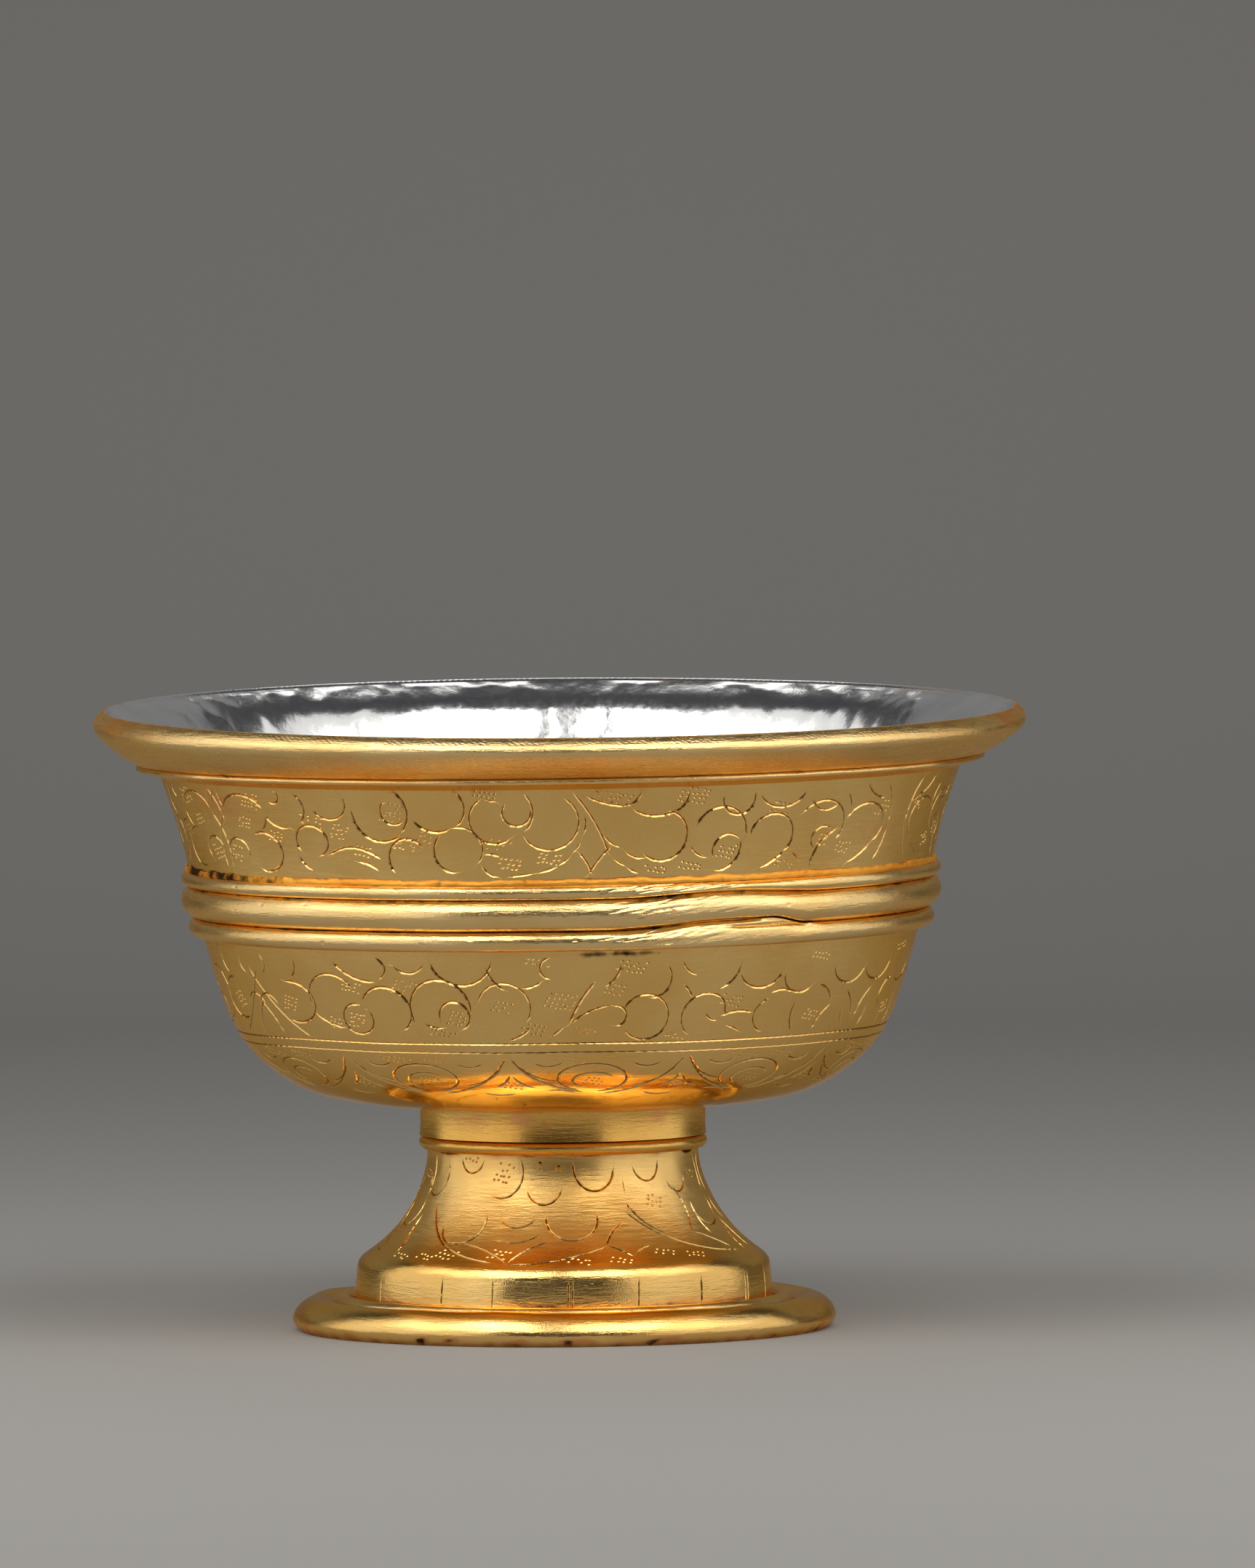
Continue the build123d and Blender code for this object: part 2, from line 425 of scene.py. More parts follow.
def give_values(piece: Thing, values: Values) -> None:
    """Stores named values on the vertices of a piece, for its material to read.

    Args:
        piece: the mesh object.
        values: one value to the vertex, by name.
    """
    for name, value in values.items():
        layer = piece.data.attributes.new(name, "FLOAT", "POINT")
        layer.data.foreach_set("value", np.asarray(value, np.float32).ravel())


def keep_normals(piece: Thing, normals: Array) -> None:
    """Gives the first corners of a piece their own normals and leaves the others to the mesh.

    Args:
        piece: the mesh object.
        normals: unit normals of its first corners.
    """
    whole = np.zeros((len(piece.data.loops), 3), np.float32)
    whole[: len(normals)] = normals
    piece.data.normals_split_custom_set(whole.tolist())


# Ornament


@dataclass(frozen=True)
class Scroll:
    """A chased arc: its middle, radius, first angle and turn in degrees, and how far it is widened."""

    around: float
    up: float
    radius: float
    start: float
    turn: float
    wide: float = 1.0

    def path(self, scale: float, step: float) -> Array:
        """Follows the arc.

        Args:
            scale: mm round the wall to the degree.
            step: spacing of the points.

        Returns:
            Points in mm.
        """
        count = max(5, int(abs(math.radians(self.turn)) * self.radius / step))
        phi = np.radians(np.linspace(self.start, self.start + self.turn, count))
        x = self.around * scale + self.radius * self.wide * np.cos(phi)
        return np.stack([x, self.up + self.radius * np.sin(phi)], axis=1)


@dataclass(frozen=True)
class Stroke:
    """A chased line between two places, bowed to the left of its chord by bow."""

    around: float
    up: float
    to_around: float
    to_up: float
    bow: float = 0.0

    def path(self, scale: float, step: float) -> Array:
        """Follows the line, which bows as a parabola.

        Args:
            scale: mm round the wall to the degree.
            step: spacing of the points.

        Returns:
            Points in mm.
        """
        a = np.array([self.around * scale, self.up])
        b = np.array([self.to_around * scale, self.to_up])
        length = float(np.linalg.norm(b - a))
        t = np.linspace(0.0, 1.0, max(5, int(length / step)))[:, None]
        left = np.array([a[1] - b[1], b[0] - a[0]]) / length
        return a + (b - a) * t + left * self.bow * 4.0 * t * (1.0 - t)


@dataclass(frozen=True)
class Dots:
    """A patch of punched dots in slanted rows."""

    around: float
    up: float
    columns: int
    rows: int
    slant: float = 0.3


Ornament = tuple[Scroll | Stroke, ...]
Patches = tuple[Dots, ...]
UPPER_WALL = (
    Scroll(-26.8, 9.4, 4.1, 172, 140), Scroll(-26.8, 9.4, 4.0, 50, -95),
    Scroll(-24.6, 9.5, 1.8, 118, 215), Scroll(-18.1, 10.4, 3.7, 212, 90),
    Scroll(-17.2, 10.1, 3.25, 47, -98), Scroll(-14.6, 4.4, 3.0, 108, -152),
    Scroll(-15.6, 4.0, 2.9, 128, 145), Scroll(-23.0, 2.9, 2.85, 222, -190),
    Scroll(-9.4, 8.4, 3.3, 118, 190), Scroll(-6.1, 9.4, 1.85, 135, 245), Scroll(-7.9, 9.5, 3.8, 45, -92),
    Scroll(-1.4, 8.0, 3.9, 208, 212), Scroll(-9.0, 2.9, 2.4, 190, 78),
    Stroke(-11.0, 3.6, -8.7, 3.2, 0.25), Stroke(-10.5, 11.3, -8.8, 11.0),
    Stroke(2.0, 12.2, 7.5, 3.2, 0.45), Stroke(3.7, 8.9, 3.6, 6.2, 0.2), Stroke(2.8, 3.8, 5.0, 0.5, 0.25),
    Stroke(7.8, 4.5, 4.4, 0.6, -0.2), Stroke(3.2, 5.3, 2.1, 3.7, 0.1), Stroke(1.6, 3.0, 0.0, 2.0),
    Stroke(-0.3, 1.75, -3.1, 0.95), Stroke(-4.0, 0.85, -7.7, 0.5), Stroke(6.5, 6.3, 8.9, 4.3, -0.3),
    Stroke(9.8, 3.7, 12.8, 2.7, -0.3), Stroke(8.2, 2.6, 9.8, 1.7), Stroke(10.2, 1.4, 11.9, 0.6),
    Stroke(3.9, 11.6, 9.8, 10.1, -0.35), Stroke(9.8, 10.1, 11.8, 12.3, -0.4),
    Stroke(10.7, 9.6, 16.1, 8.9, -0.6), Scroll(15.4, 12.0, 3.2, -95, 100),
    Scroll(15.3, 5.8, 3.5, 80, -215), Stroke(19.7, 4.4, 22.5, 2.5, -0.4),
    Scroll(24.4, 5.8, 3.8, 162, -170), Scroll(26.8, 10.7, 2.3, 165, 222), Scroll(25.8, 3.5, 2.2, 38, 177),
    Scroll(24.1, 4.2, 3.5, 12, -105), Scroll(33.1, 5.3, 3.0, 178, -230, 1.15),
    Stroke(35.6, 3.0, 31.6, 0.8, 0.2), Scroll(34.0, 12.6, 3.4, 205, 135, 1.15),
    Scroll(42.4, 10.6, 2.2, 185, 150, 1.2), Scroll(42.1, 6.4, 3.4, 150, -190, 1.25),
    Scroll(42.9, 4.4, 1.7, 40, 200, 1.2), Stroke(45.4, 5.6, 41.0, 0.6, -0.9),
    Stroke(37.0, 2.9, 38.6, 1.6, 0.1), Stroke(46.3, 10.6, 47.8, 8.2, 0.3),
    Scroll(51.5, 6.0, 3.0, 160, -215, 1.35), Stroke(53.6, 3.2, 49.0, 0.8, 0.2),
    Stroke(50.2, 11.9, 55.0, 9.6, -0.6), Stroke(55.0, 11.8, 57.4, 6.0, 0.7),
    Stroke(57.4, 5.6, 55.2, 1.0, 0.4), Scroll(-53.0, 8.6, 2.9, 170, -150, 1.6),
    Scroll(-53.0, 8.6, 2.9, 5, -55, 1.6), Scroll(-44.0, 9.8, 2.85, 200, 80, 1.35),
    Scroll(-44.0, 9.8, 2.85, 48, -98, 1.35), Scroll(-45.6, 11.4, 1.0, 60, -180, 1.2),
    Scroll(-35.3, 10.6, 2.3, 200, 190, 1.2), Scroll(-49.6, 3.5, 2.7, 120, -235, 1.25),
    Scroll(-56.4, 3.4, 1.8, 185, -220, 1.4), Scroll(-39.5, 5.2, 2.2, 220, -290, 1.25),
    Stroke(-36.6, 3.3, -27.6, 2.9, 1.3), Stroke(-42.7, 3.3, -40.2, 1.1, -0.3),
    Stroke(-31.4, 2.4, -28.2, 1.3, 0.3), Stroke(-60.8, 12.0, -58.4, 7.6, 0.5),
    Stroke(-58.4, 12.2, -57.6, 9.4, -0.2), Stroke(-61.6, 8.6, -59.2, 1.0, 1.1),
)
UPPER_DOTS = (
    Dots(-24.9, 9.5, 5, 5), Dots(-50.5, 10.8, 5, 4), Dots(-53.0, 7.6, 4, 3), Dots(-57.0, 3.2, 4, 4),
    Dots(-46.5, 5.8, 4, 3), Dots(-39.0, 8.1, 6, 3), Dots(-34.0, 6.6, 4, 4), Dots(-30.4, 4.0, 4, 3),
    Dots(-23.2, 5.0, 5, 3), Dots(-19.9, 6.1, 3, 3), Dots(-9.3, 5.0, 6, 3), Dots(-7.4, 2.3, 5, 3),
    Dots(-1.5, 2.9, 5, 3), Dots(-10.5, 12.1, 5, 2), Dots(7.5, 11.4, 8, 3), Dots(19.6, 11.4, 6, 4),
    Dots(34.0, 9.1, 5, 3), Dots(20.0, 1.5, 5, 2), Dots(14.5, 1.2, 5, 2), Dots(25.7, 3.5, 4, 4),
    Dots(36.0, 1.2, 5, 2), Dots(43.0, 4.3, 3, 3), Dots(55.0, 8.2, 4, 4), Dots(47.4, 3.0, 4, 3),
)
LOWER_WALL = (
    Scroll(-20.4, 5.2, 4.3, 205, -215), Scroll(-18.0, 4.2, 2.15, 205, -270),
    Stroke(-23.4, 3.1, -20.0, 2.5, -0.25), Scroll(-25.0, 12.9, 2.5, 215, 120),
    Scroll(-16.1, 12.9, 4.2, 190, 160), Stroke(-12.0, 11.4, -8.9, 8.0, -0.5),
    Scroll(-9.4, 5.4, 3.6, 170, -205), Stroke(-5.2, 2.3, -9.0, 0.6, 0.2),
    Stroke(-6.4, 8.3, -2.8, 9.4, -0.3), Scroll(-1.4, 11.1, 1.5, 90, 175),
    Stroke(5.7, 9.2, 1.4, 2.9, -0.35), Stroke(9.8, 11.7, 7.3, 8.4, 0.5), Stroke(1.6, 3.0, 8.3, 5.7, 0.5),
    Scroll(9.3, 4.1, 1.45, 100, -190), Stroke(0.6, 2.6, -1.6, 1.2), Scroll(14.3, 3.8, 3.3, 160, -310),
    Scroll(15.0, 9.3, 2.7, 45, -140), Scroll(24.8, 3.6, 3.3, 75, 160), Scroll(25.7, 4.4, 2.4, 100, -120),
    Stroke(25.0, 4.4, 27.3, 2.9, -0.4), Stroke(28.0, 3.5, 34.0, 3.8, 0.5),
    Stroke(29.2, 2.1, 32.4, 1.0, 0.2), Stroke(30.5, 11.4, 27.1, 7.5, 0.7),
    Scroll(34.7, 10.4, 3.0, 195, 150, 1.15), Scroll(43.3, 8.9, 2.5, 170, 140, 1.2),
    Stroke(47.7, 7.2, 51.9, 4.6, 0.7), Stroke(37.3, 6.5, 41.8, 6.4, 0.5),
    Scroll(38.2, 3.3, 2.6, 110, 140, 1.15), Stroke(43.2, 5.3, 43.8, 0.6, -0.7),
    Scroll(55.4, 10.0, 2.8, 180, 170, 1.3), Stroke(51.9, 4.2, 48.8, 0.6, -0.6),
    Stroke(56.0, 6.0, 59.4, 2.0, 0.6), Stroke(55.8, 3.8, 57.0, 0.8, -0.2),
    Scroll(-41.0, 6.4, 3.6, 195, -170, 1.2), Scroll(-30.4, 4.9, 3.5, 160, -215, 1.1),
    Scroll(-36.4, 3.6, 2.2, 70, 330, 1.15), Stroke(-39.2, 11.7, -31.6, 9.1, -0.7),
    Stroke(-30.6, 12.6, -30.6, 9.5, 1.1), Scroll(-50.5, 5.7, 3.0, 100, -215, 1.35),
    Stroke(-48.3, 12.4, -50.0, 9.2, 0.7), Stroke(-56.6, 12.4, -57.4, 9.6, 0.8),
    Stroke(-61.0, 10.4, -49.2, 0.6, -0.9), Stroke(-45.9, 4.3, -39.6, 2.2, -0.4),
    Stroke(-60.4, 5.6, -56.4, 0.8, 0.5), Scroll(-58.0, 5.0, 1.7, 200, -190, 1.3),
    Stroke(20.4, 8.4, 22.4, 6.2, 0.2), Stroke(20.0, 11.8, 22.6, 9.6, -0.4),
)
LOWER_DOTS = (
    Dots(-20.4, 1.7, 6, 2), Dots(-17.6, 4.0, 4, 4), Dots(0.0, 6.4, 6, 4), Dots(4.0, 2.0, 5, 2),
    Dots(9.0, 8.0, 4, 3), Dots(-4.6, 2.4, 5, 3), Dots(11.6, 11.2, 6, 3), Dots(-36.4, 8.4, 5, 3),
    Dots(-41.4, 3.0, 4, 3), Dots(-26.2, 8.4, 5, 4), Dots(29.6, 5.8, 5, 3), Dots(-36.6, 3.5, 4, 4),
    Dots(-51.6, 5.6, 4, 4), Dots(47.2, 3.0, 4, 3), Dots(20.0, 1.0, 5, 2), Dots(-9.6, 5.6, 4, 3),
    Dots(46.6, 11.4, 5, 2), Dots(-3.6, 12.0, 5, 2),
)
PETAL = (
    Stroke(-0.4, 8.3, -14.6, 0.6, 1.6), Stroke(0.4, 8.3, 14.0, 0.8, -1.5),
    Stroke(-1.4, 6.6, -9.6, 2.6, 0.8), Stroke(1.6, 6.9, 9.4, 3.4, -0.7),
    Scroll(15.4, 4.1, 3.0, 250, -330, 1.45), Scroll(15.8, 3.6, 1.8, 30, 205, 1.5),
    Stroke(6.6, 1.1, 12.6, 0.4, 0.5), Stroke(-6.4, 0.9, 0.2, 0.5, -0.6),
    Stroke(-0.2, 5.3, -3.6, 2.2, 0.5), Stroke(0.4, 4.9, 4.6, 1.9, -0.5),
    Scroll(7.2, 8.2, 1.5, 200, 140, 1.3), Scroll(-7.4, 8.1, 1.5, 205, 135, 1.3),
)
PETAL_DOTS = (
    Dots(11.0, 8.0, 7, 2), Dots(-12.6, 8.0, 6, 2), Dots(0.4, 2.6, 4, 3), Dots(15.8, 3.6, 4, 3),
)
FOOT_WALL = (
    Scroll(-41.0, 15.2, 2.3, 165, 200), Scroll(-25.0, 13.0, 3.0, 130, -250),
    Scroll(-7.5, 11.9, 2.6, 200, 145), Scroll(13.0, 14.0, 3.1, 172, 182),
    Scroll(-16.8, 9.2, 2.9, 215, 110), Scroll(3.3, 7.9, 3.4, 170, 195), Scroll(-38.0, 7.0, 3.3, 190, 190),
    Stroke(-57.0, 8.8, -21.8, 0.8, -1.6), Stroke(-40.0, 3.8, -17.4, 0.9, 0.9),
    Stroke(-16.4, 0.9, -4.2, 4.4, 0.6), Stroke(-23.0, 4.5, -7.4, 5.6, -0.8),
    Stroke(-16.4, 0.5, 6.8, 2.4, -0.5), Stroke(7.2, 2.4, 13.4, 3.4, -0.1), Stroke(24.8, 14.8, 25.0, 13.3),
    Stroke(25.2, 12.0, 25.4, 10.6), Stroke(25.6, 9.5, 25.6, 8.4), Stroke(22.6, 7.0, 14.2, 3.6, -0.5),
    Stroke(14.2, 3.6, 21.4, 1.8, 0.2), Stroke(22.4, 1.9, 29.0, 3.4, 0.2),
    Stroke(24.0, 8.2, 66.0, 1.6, -1.5), Stroke(26.0, 8.8, 38.0, 5.2, -0.5),
    Scroll(37.0, 14.3, 2.4, 195, 165), Scroll(53.0, 12.6, 2.2, 200, 150),
    Stroke(50.0, 11.2, 50.0, 5.2, 1.1), Stroke(51.0, 5.0, 64.0, 2.4, 0.3),
    Scroll(65.0, 8.6, 2.8, 180, 190), Scroll(-62.0, 12.6, 2.6, 190, 200),
    Stroke(58.0, 9.0, 60.0, 4.8, -0.4), Stroke(-64.0, 7.4, -60.0, 2.0, -0.8),
    Stroke(72.0, 14.6, 72.4, 10.2, 0.4), Stroke(-10.6, 13.6, -8.6, 13.6, 0.8),
    Stroke(-2.6, 13.2, -0.6, 13.2, 0.8), Stroke(74.0, 6.4, 78.0, 1.4, 0.6),
)
FOOT_DOTS = (
    Dots(-41.0, 15.0, 4, 3), Dots(-25.0, 13.0, 4, 4), Dots(-20.0, 2.2, 4, 3), Dots(4.0, 1.0, 5, 2),
    Dots(-38.0, 1.9, 4, 3), Dots(-46.0, 1.3, 4, 2), Dots(17.4, 1.0, 4, 2), Dots(33.0, 2.2, 4, 2),
    Dots(38.0, 9.4, 4, 3), Dots(44.0, 1.6, 4, 2), Dots(66.0, 12.4, 4, 2), Dots(-57.0, 1.2, 4, 2),
)
BAND_TICKS = (
    -161, -142, -121, -104, -87, -61, -35.5, -20, 1.2, 2.4, 21, 41, 60, 61.4, 74, 93, 112, 130, 151, 169,
)


@dataclass(frozen=True)
class Zone:
    """A stretch of wall that takes a repeat of the ornament.

    Attributes:
        base: run along the section where the ornament's height is 0.
        radius: radius that turns lengths round the wall into angles.
        centre: angle of the repeat's middle, in degrees.
        mirror: 1, or -1 for a repeat seen in a mirror.
        stretch: run to each mm of the ornament's height.
    """

    base: float
    radius: float
    centre: float = 0.0
    mirror: int = 1
    stretch: float = 1.0

    @property
    def scale(self) -> float:
        """Millimetres round the wall to the degree."""
        return math.radians(1.0) * self.radius

    def lay(self, places: Array) -> Array:
        """Turns places in mm into angles round the bowl and runs along the section."""
        theta = math.radians(self.centre) + self.mirror * places[:, 0] / self.radius
        return np.stack([theta, self.base + self.stretch * places[:, 1]], axis=1)


@dataclass(frozen=True)
class Groove:
    """A cut of V section: the places of its bottom line, and its half widths and depths there."""

    places: Array
    half: Array
    depth: Array

    def outline(self) -> list[Array]:
        """Draws a cut on the flat map.

        Returns:
            Its bottom line and its two edges.
        """
        heading = np.gradient(self.places, axis=0)
        heading /= np.linalg.norm(heading, axis=1)[:, None]
        left = np.stack([-heading[:, 1], heading[:, 0]], axis=1) * self.half[:, None]
        return [self.places, self.places + left, self.places - left]

    def sink(self, flat: Array, depth: Array) -> None:
        """Deepens the map's vertices that lie in the cut, evenly less from its bottom line to its edges.

        Args:
            flat: vertices on the map.
            depth: depths of the vertices, which are changed in place.
        """
        blunt = 0.02
        reach = self.half.max()
        low, high = self.places.min(axis=0) - reach, self.places.max(axis=0) + reach
        near = np.flatnonzero(((flat >= low) & (flat <= high)).all(axis=1))
        span = np.diff(self.places, axis=0)
        offset = flat[near][:, None, :] - self.places[:-1]
        t = np.clip((offset * span).sum(axis=2) / (span**2).sum(axis=1), 0.0, 1.0)
        away = np.linalg.norm(offset - t[:, :, None] * span, axis=2)
        best = away.argmin(axis=1)
        rows = np.arange(len(near))
        share = t[rows, best]
        width = self.half[best] * (1 - share) + self.half[best + 1] * share
        deep = self.depth[best] * (1 - share) + self.depth[best + 1] * share
        cut = deep * np.clip(1.0 - away[rows, best] / width - blunt, 0.0, 1.0)
        depth[near] = np.maximum(depth[near], cut)


@dataclass(frozen=True)
class Chisel:
    """A chasing tool that is walked along a line in short hits, between which the cut is shallow."""

    width: float = 0.46
    depth: float = 0.17
    hit: float = 1.25
    step: float = 0.3
    shallow: float = 0.68
    run_out: float = 0.7

    def groove(self, places: Array, full: Array) -> Groove:
        """Makes a cut from its places and how full it is there."""
        return Groove(places, self.width / 2 * full, self.depth * full)

    def fullness(self, places: Array, radius: float, rng: Random) -> Array:
        """Walks the tool along a line.

        Args:
            places: angles and runs of the line.
            radius: radius of the wall there.
            rng: source of the uneven hits.

        Returns:
            How full the cut is at each place.
        """
        steps = np.hypot(np.diff(places[:, 0]) * radius, np.diff(places[:, 1]))
        run = np.concatenate([[0.0], np.cumsum(steps)])
        phase = run / (self.hit * rng.uniform(0.85, 1.25)) + rng.uniform()
        swell = self.shallow + (1.0 - self.shallow) * np.abs(np.sin(math.pi * phase))
        taper = np.clip(np.minimum(run, run[-1] - run) / self.run_out, 0.12, 1.0)
        return swell * taper * rng.uniform(0.85, 1.15)


@dataclass(frozen=True)
class Punch:
    """A pointed punch that sets patches of dots, of which some stray and some are missed."""

    size: float = 0.26
    depth: float = 0.1
    across: float = 0.66
    up: float = 0.58
    drop: float = 0.12
    stray: float = 0.07
    missed: float = 0.12
    corners: tuple[Point, ...] = ((0, 0), (1, 0.25), (-0.2, 0.8), (-1, -0.25), (0.2, -0.8))

    def patch(self, dots: Dots, scale: float, rng: Random) -> Array:
        """Sets one patch.

        Args:
            dots: the patch.
            scale: mm round the wall to the degree.
            rng: source of the stray and missed dots.

        Returns:
            Points in mm.
        """
        rows, columns = np.mgrid[0 : dots.rows, 0 : dots.columns].reshape(2, -1).astype(float)
        rows -= (dots.rows - 1) / 2
        columns -= (dots.columns - 1) / 2
        x = self.across * columns + dots.slant * rows + rng.normal(0.0, self.stray, rows.shape)
        y = self.up * rows - self.drop * columns + rng.normal(0.0, self.stray, rows.shape)
        keep = rng.uniform(size=rows.shape) > self.missed
        return np.stack([dots.around * scale + x, dots.up + y], axis=1)[keep]

    def outline(self, spots: Array, reach: Array) -> Array:
        """Middles and corners of dots on the flat map, from their middles and sizes."""
        return (spots[:, None, :] + np.array(self.corners) * reach[:, None, None]).reshape(-1, 2)

    def sink(self, flat: Array, spots: Array, reach: Array) -> Array:
        """Finds how deep the dots, each a cone, are at the vertices of the flat map.

        Args:
            flat: vertices on the map.
            spots: middles of the dots.
            reach: sizes of the dots.

        Returns:
            Depths of the vertices.
        """
        window, mouth = 0.6, 0.7
        order = np.argsort(spots[:, 0])
        spots, reach = spots[order], reach[order]
        first = np.searchsorted(spots[:, 0], flat[:, 0] - window)
        last = np.searchsorted(spots[:, 0], flat[:, 0] + window)
        depth = np.zeros(len(flat))
        for shift in range(int(np.max(last - first)) + 1):
            index = np.minimum(first + shift, len(spots) - 1)
            away = np.linalg.norm(flat - spots[index], axis=1) / reach[index]
            depth = np.maximum(depth, self.depth * np.clip(1.0 - away / mouth, 0.0, 1.0))
        return depth


@dataclass(frozen=True)
class FlatMap:
    """A turned wall rolled out so that small shapes keep their form, true to size at the radius unit."""

    line: SectionLine
    unit: float
    levels: Array
    near: float = 1e-3

    @classmethod
    def of(cls, line: SectionLine) -> "FlatMap":
        """Rolls out the wall of a section.

        Args:
            line: the section.

        Returns:
            The map.
        """
        unit = float(line.points[:, 0].max())
        stretch = unit / np.maximum(line.points[:, 0], 1.0)
        steps = np.diff(line.run) * (stretch[1:] + stretch[:-1]) / 2
        return cls(line, unit, np.concatenate([[0.0], np.cumsum(steps)]))

    @property
    def half(self) -> float:
        """Half the width of the map."""
        return math.pi * self.unit

    @property
    def top(self) -> float:
        """Height of the map."""
        return float(self.levels[-1])

    def level(self, run: Array) -> Array:
        """Height on the map at a run along the section."""
        return np.interp(run, self.line.run, self.levels)

    def lay(self, places: Array) -> Array:
        """Points of the map at angles and runs."""
        return np.stack([places[:, 0] * self.unit, self.level(places[:, 1])], axis=1)

    def lay_groove(self, groove: Groove) -> Groove:
        """Lays a cut on the map, where it is as much larger as the map is there."""
        grow = self.unit / self.line.at(groove.places[:, 1])[0]
        return Groove(self.lay(groove.places), groove.half * grow, groove.depth)

    def lift(self, flat: Array) -> Array:
        """Angles and runs at points of the map."""
        return np.stack([flat[:, 0] / self.unit, np.interp(flat[:, 1], self.levels, self.line.run)], axis=1)

    def at_ends(self, flat: Array) -> Array:
        """True for points on the lower or upper side of the map."""
        return (flat[:, 1] < self.near) | (flat[:, 1] > self.top - self.near)

    def inside(self, flat: Array, margin: float = 0.02) -> Array:
        """Moves points back that lie beyond the sides of the map."""
        return np.clip(flat, [-self.half, margin], [self.half, self.top - margin])

    def grid(self, columns: int, gap: float, drawn: Array, cell: float = 0.5) -> Array:
        """Spreads points over the sides of the map, and over the cells where nothing is drawn.

        Args:
            columns: number of steps round the wall.
            gap: spacing of the rows on the wall.
            drawn: points that are on the map already.
            cell: size of a cell.

        Returns:
            Points on the map.
        """
        runs = np.linspace(0.0, self.line.length, int(self.line.length / gap) + 2)
        around = np.linspace(-self.half, self.half, columns + 1)
        plain = np.stack(np.meshgrid(around, self.level(runs), indexing="ij"), axis=-1).reshape(-1, 2)
        border = (np.abs(plain[:, 0]) > self.half - self.near) | self.at_ends(plain)
        number = np.array([100003.0, 1.0])
        free = ~np.isin(np.rint(plain / cell) @ number, np.rint(drawn / cell) @ number)
        return plain[border | free]

    def close_seam(self, flat: Array, triangles: Array) -> Array:
        """Joins the two sides of the map at the back of the bowl.

        Args:
            flat: vertices on the map.
            triangles: triangles of the vertices.

        Returns:
            Triangles in which the left side's vertices stand for the right side's.
        """
        left = np.flatnonzero(flat[:, 0] < -self.half + self.near)
        right = np.flatnonzero(flat[:, 0] > self.half - self.near)
        nearest = np.abs(flat[right, 1][:, None] - flat[left, 1]).argmin(axis=1)
        merged = np.arange(len(flat))
        merged[right] = left[nearest]
        closed = merged[triangles]
        return closed[(np.diff(np.sort(closed, axis=1), axis=1) > 0).all(axis=1)]


@dataclass(frozen=True)
class WallMesh:
    """A wall in a draft: its first and last loops, its places and depths, and its corners' normals."""

    first: Array
    last: Array
    places: Array
    depth: Array
    normals: Array


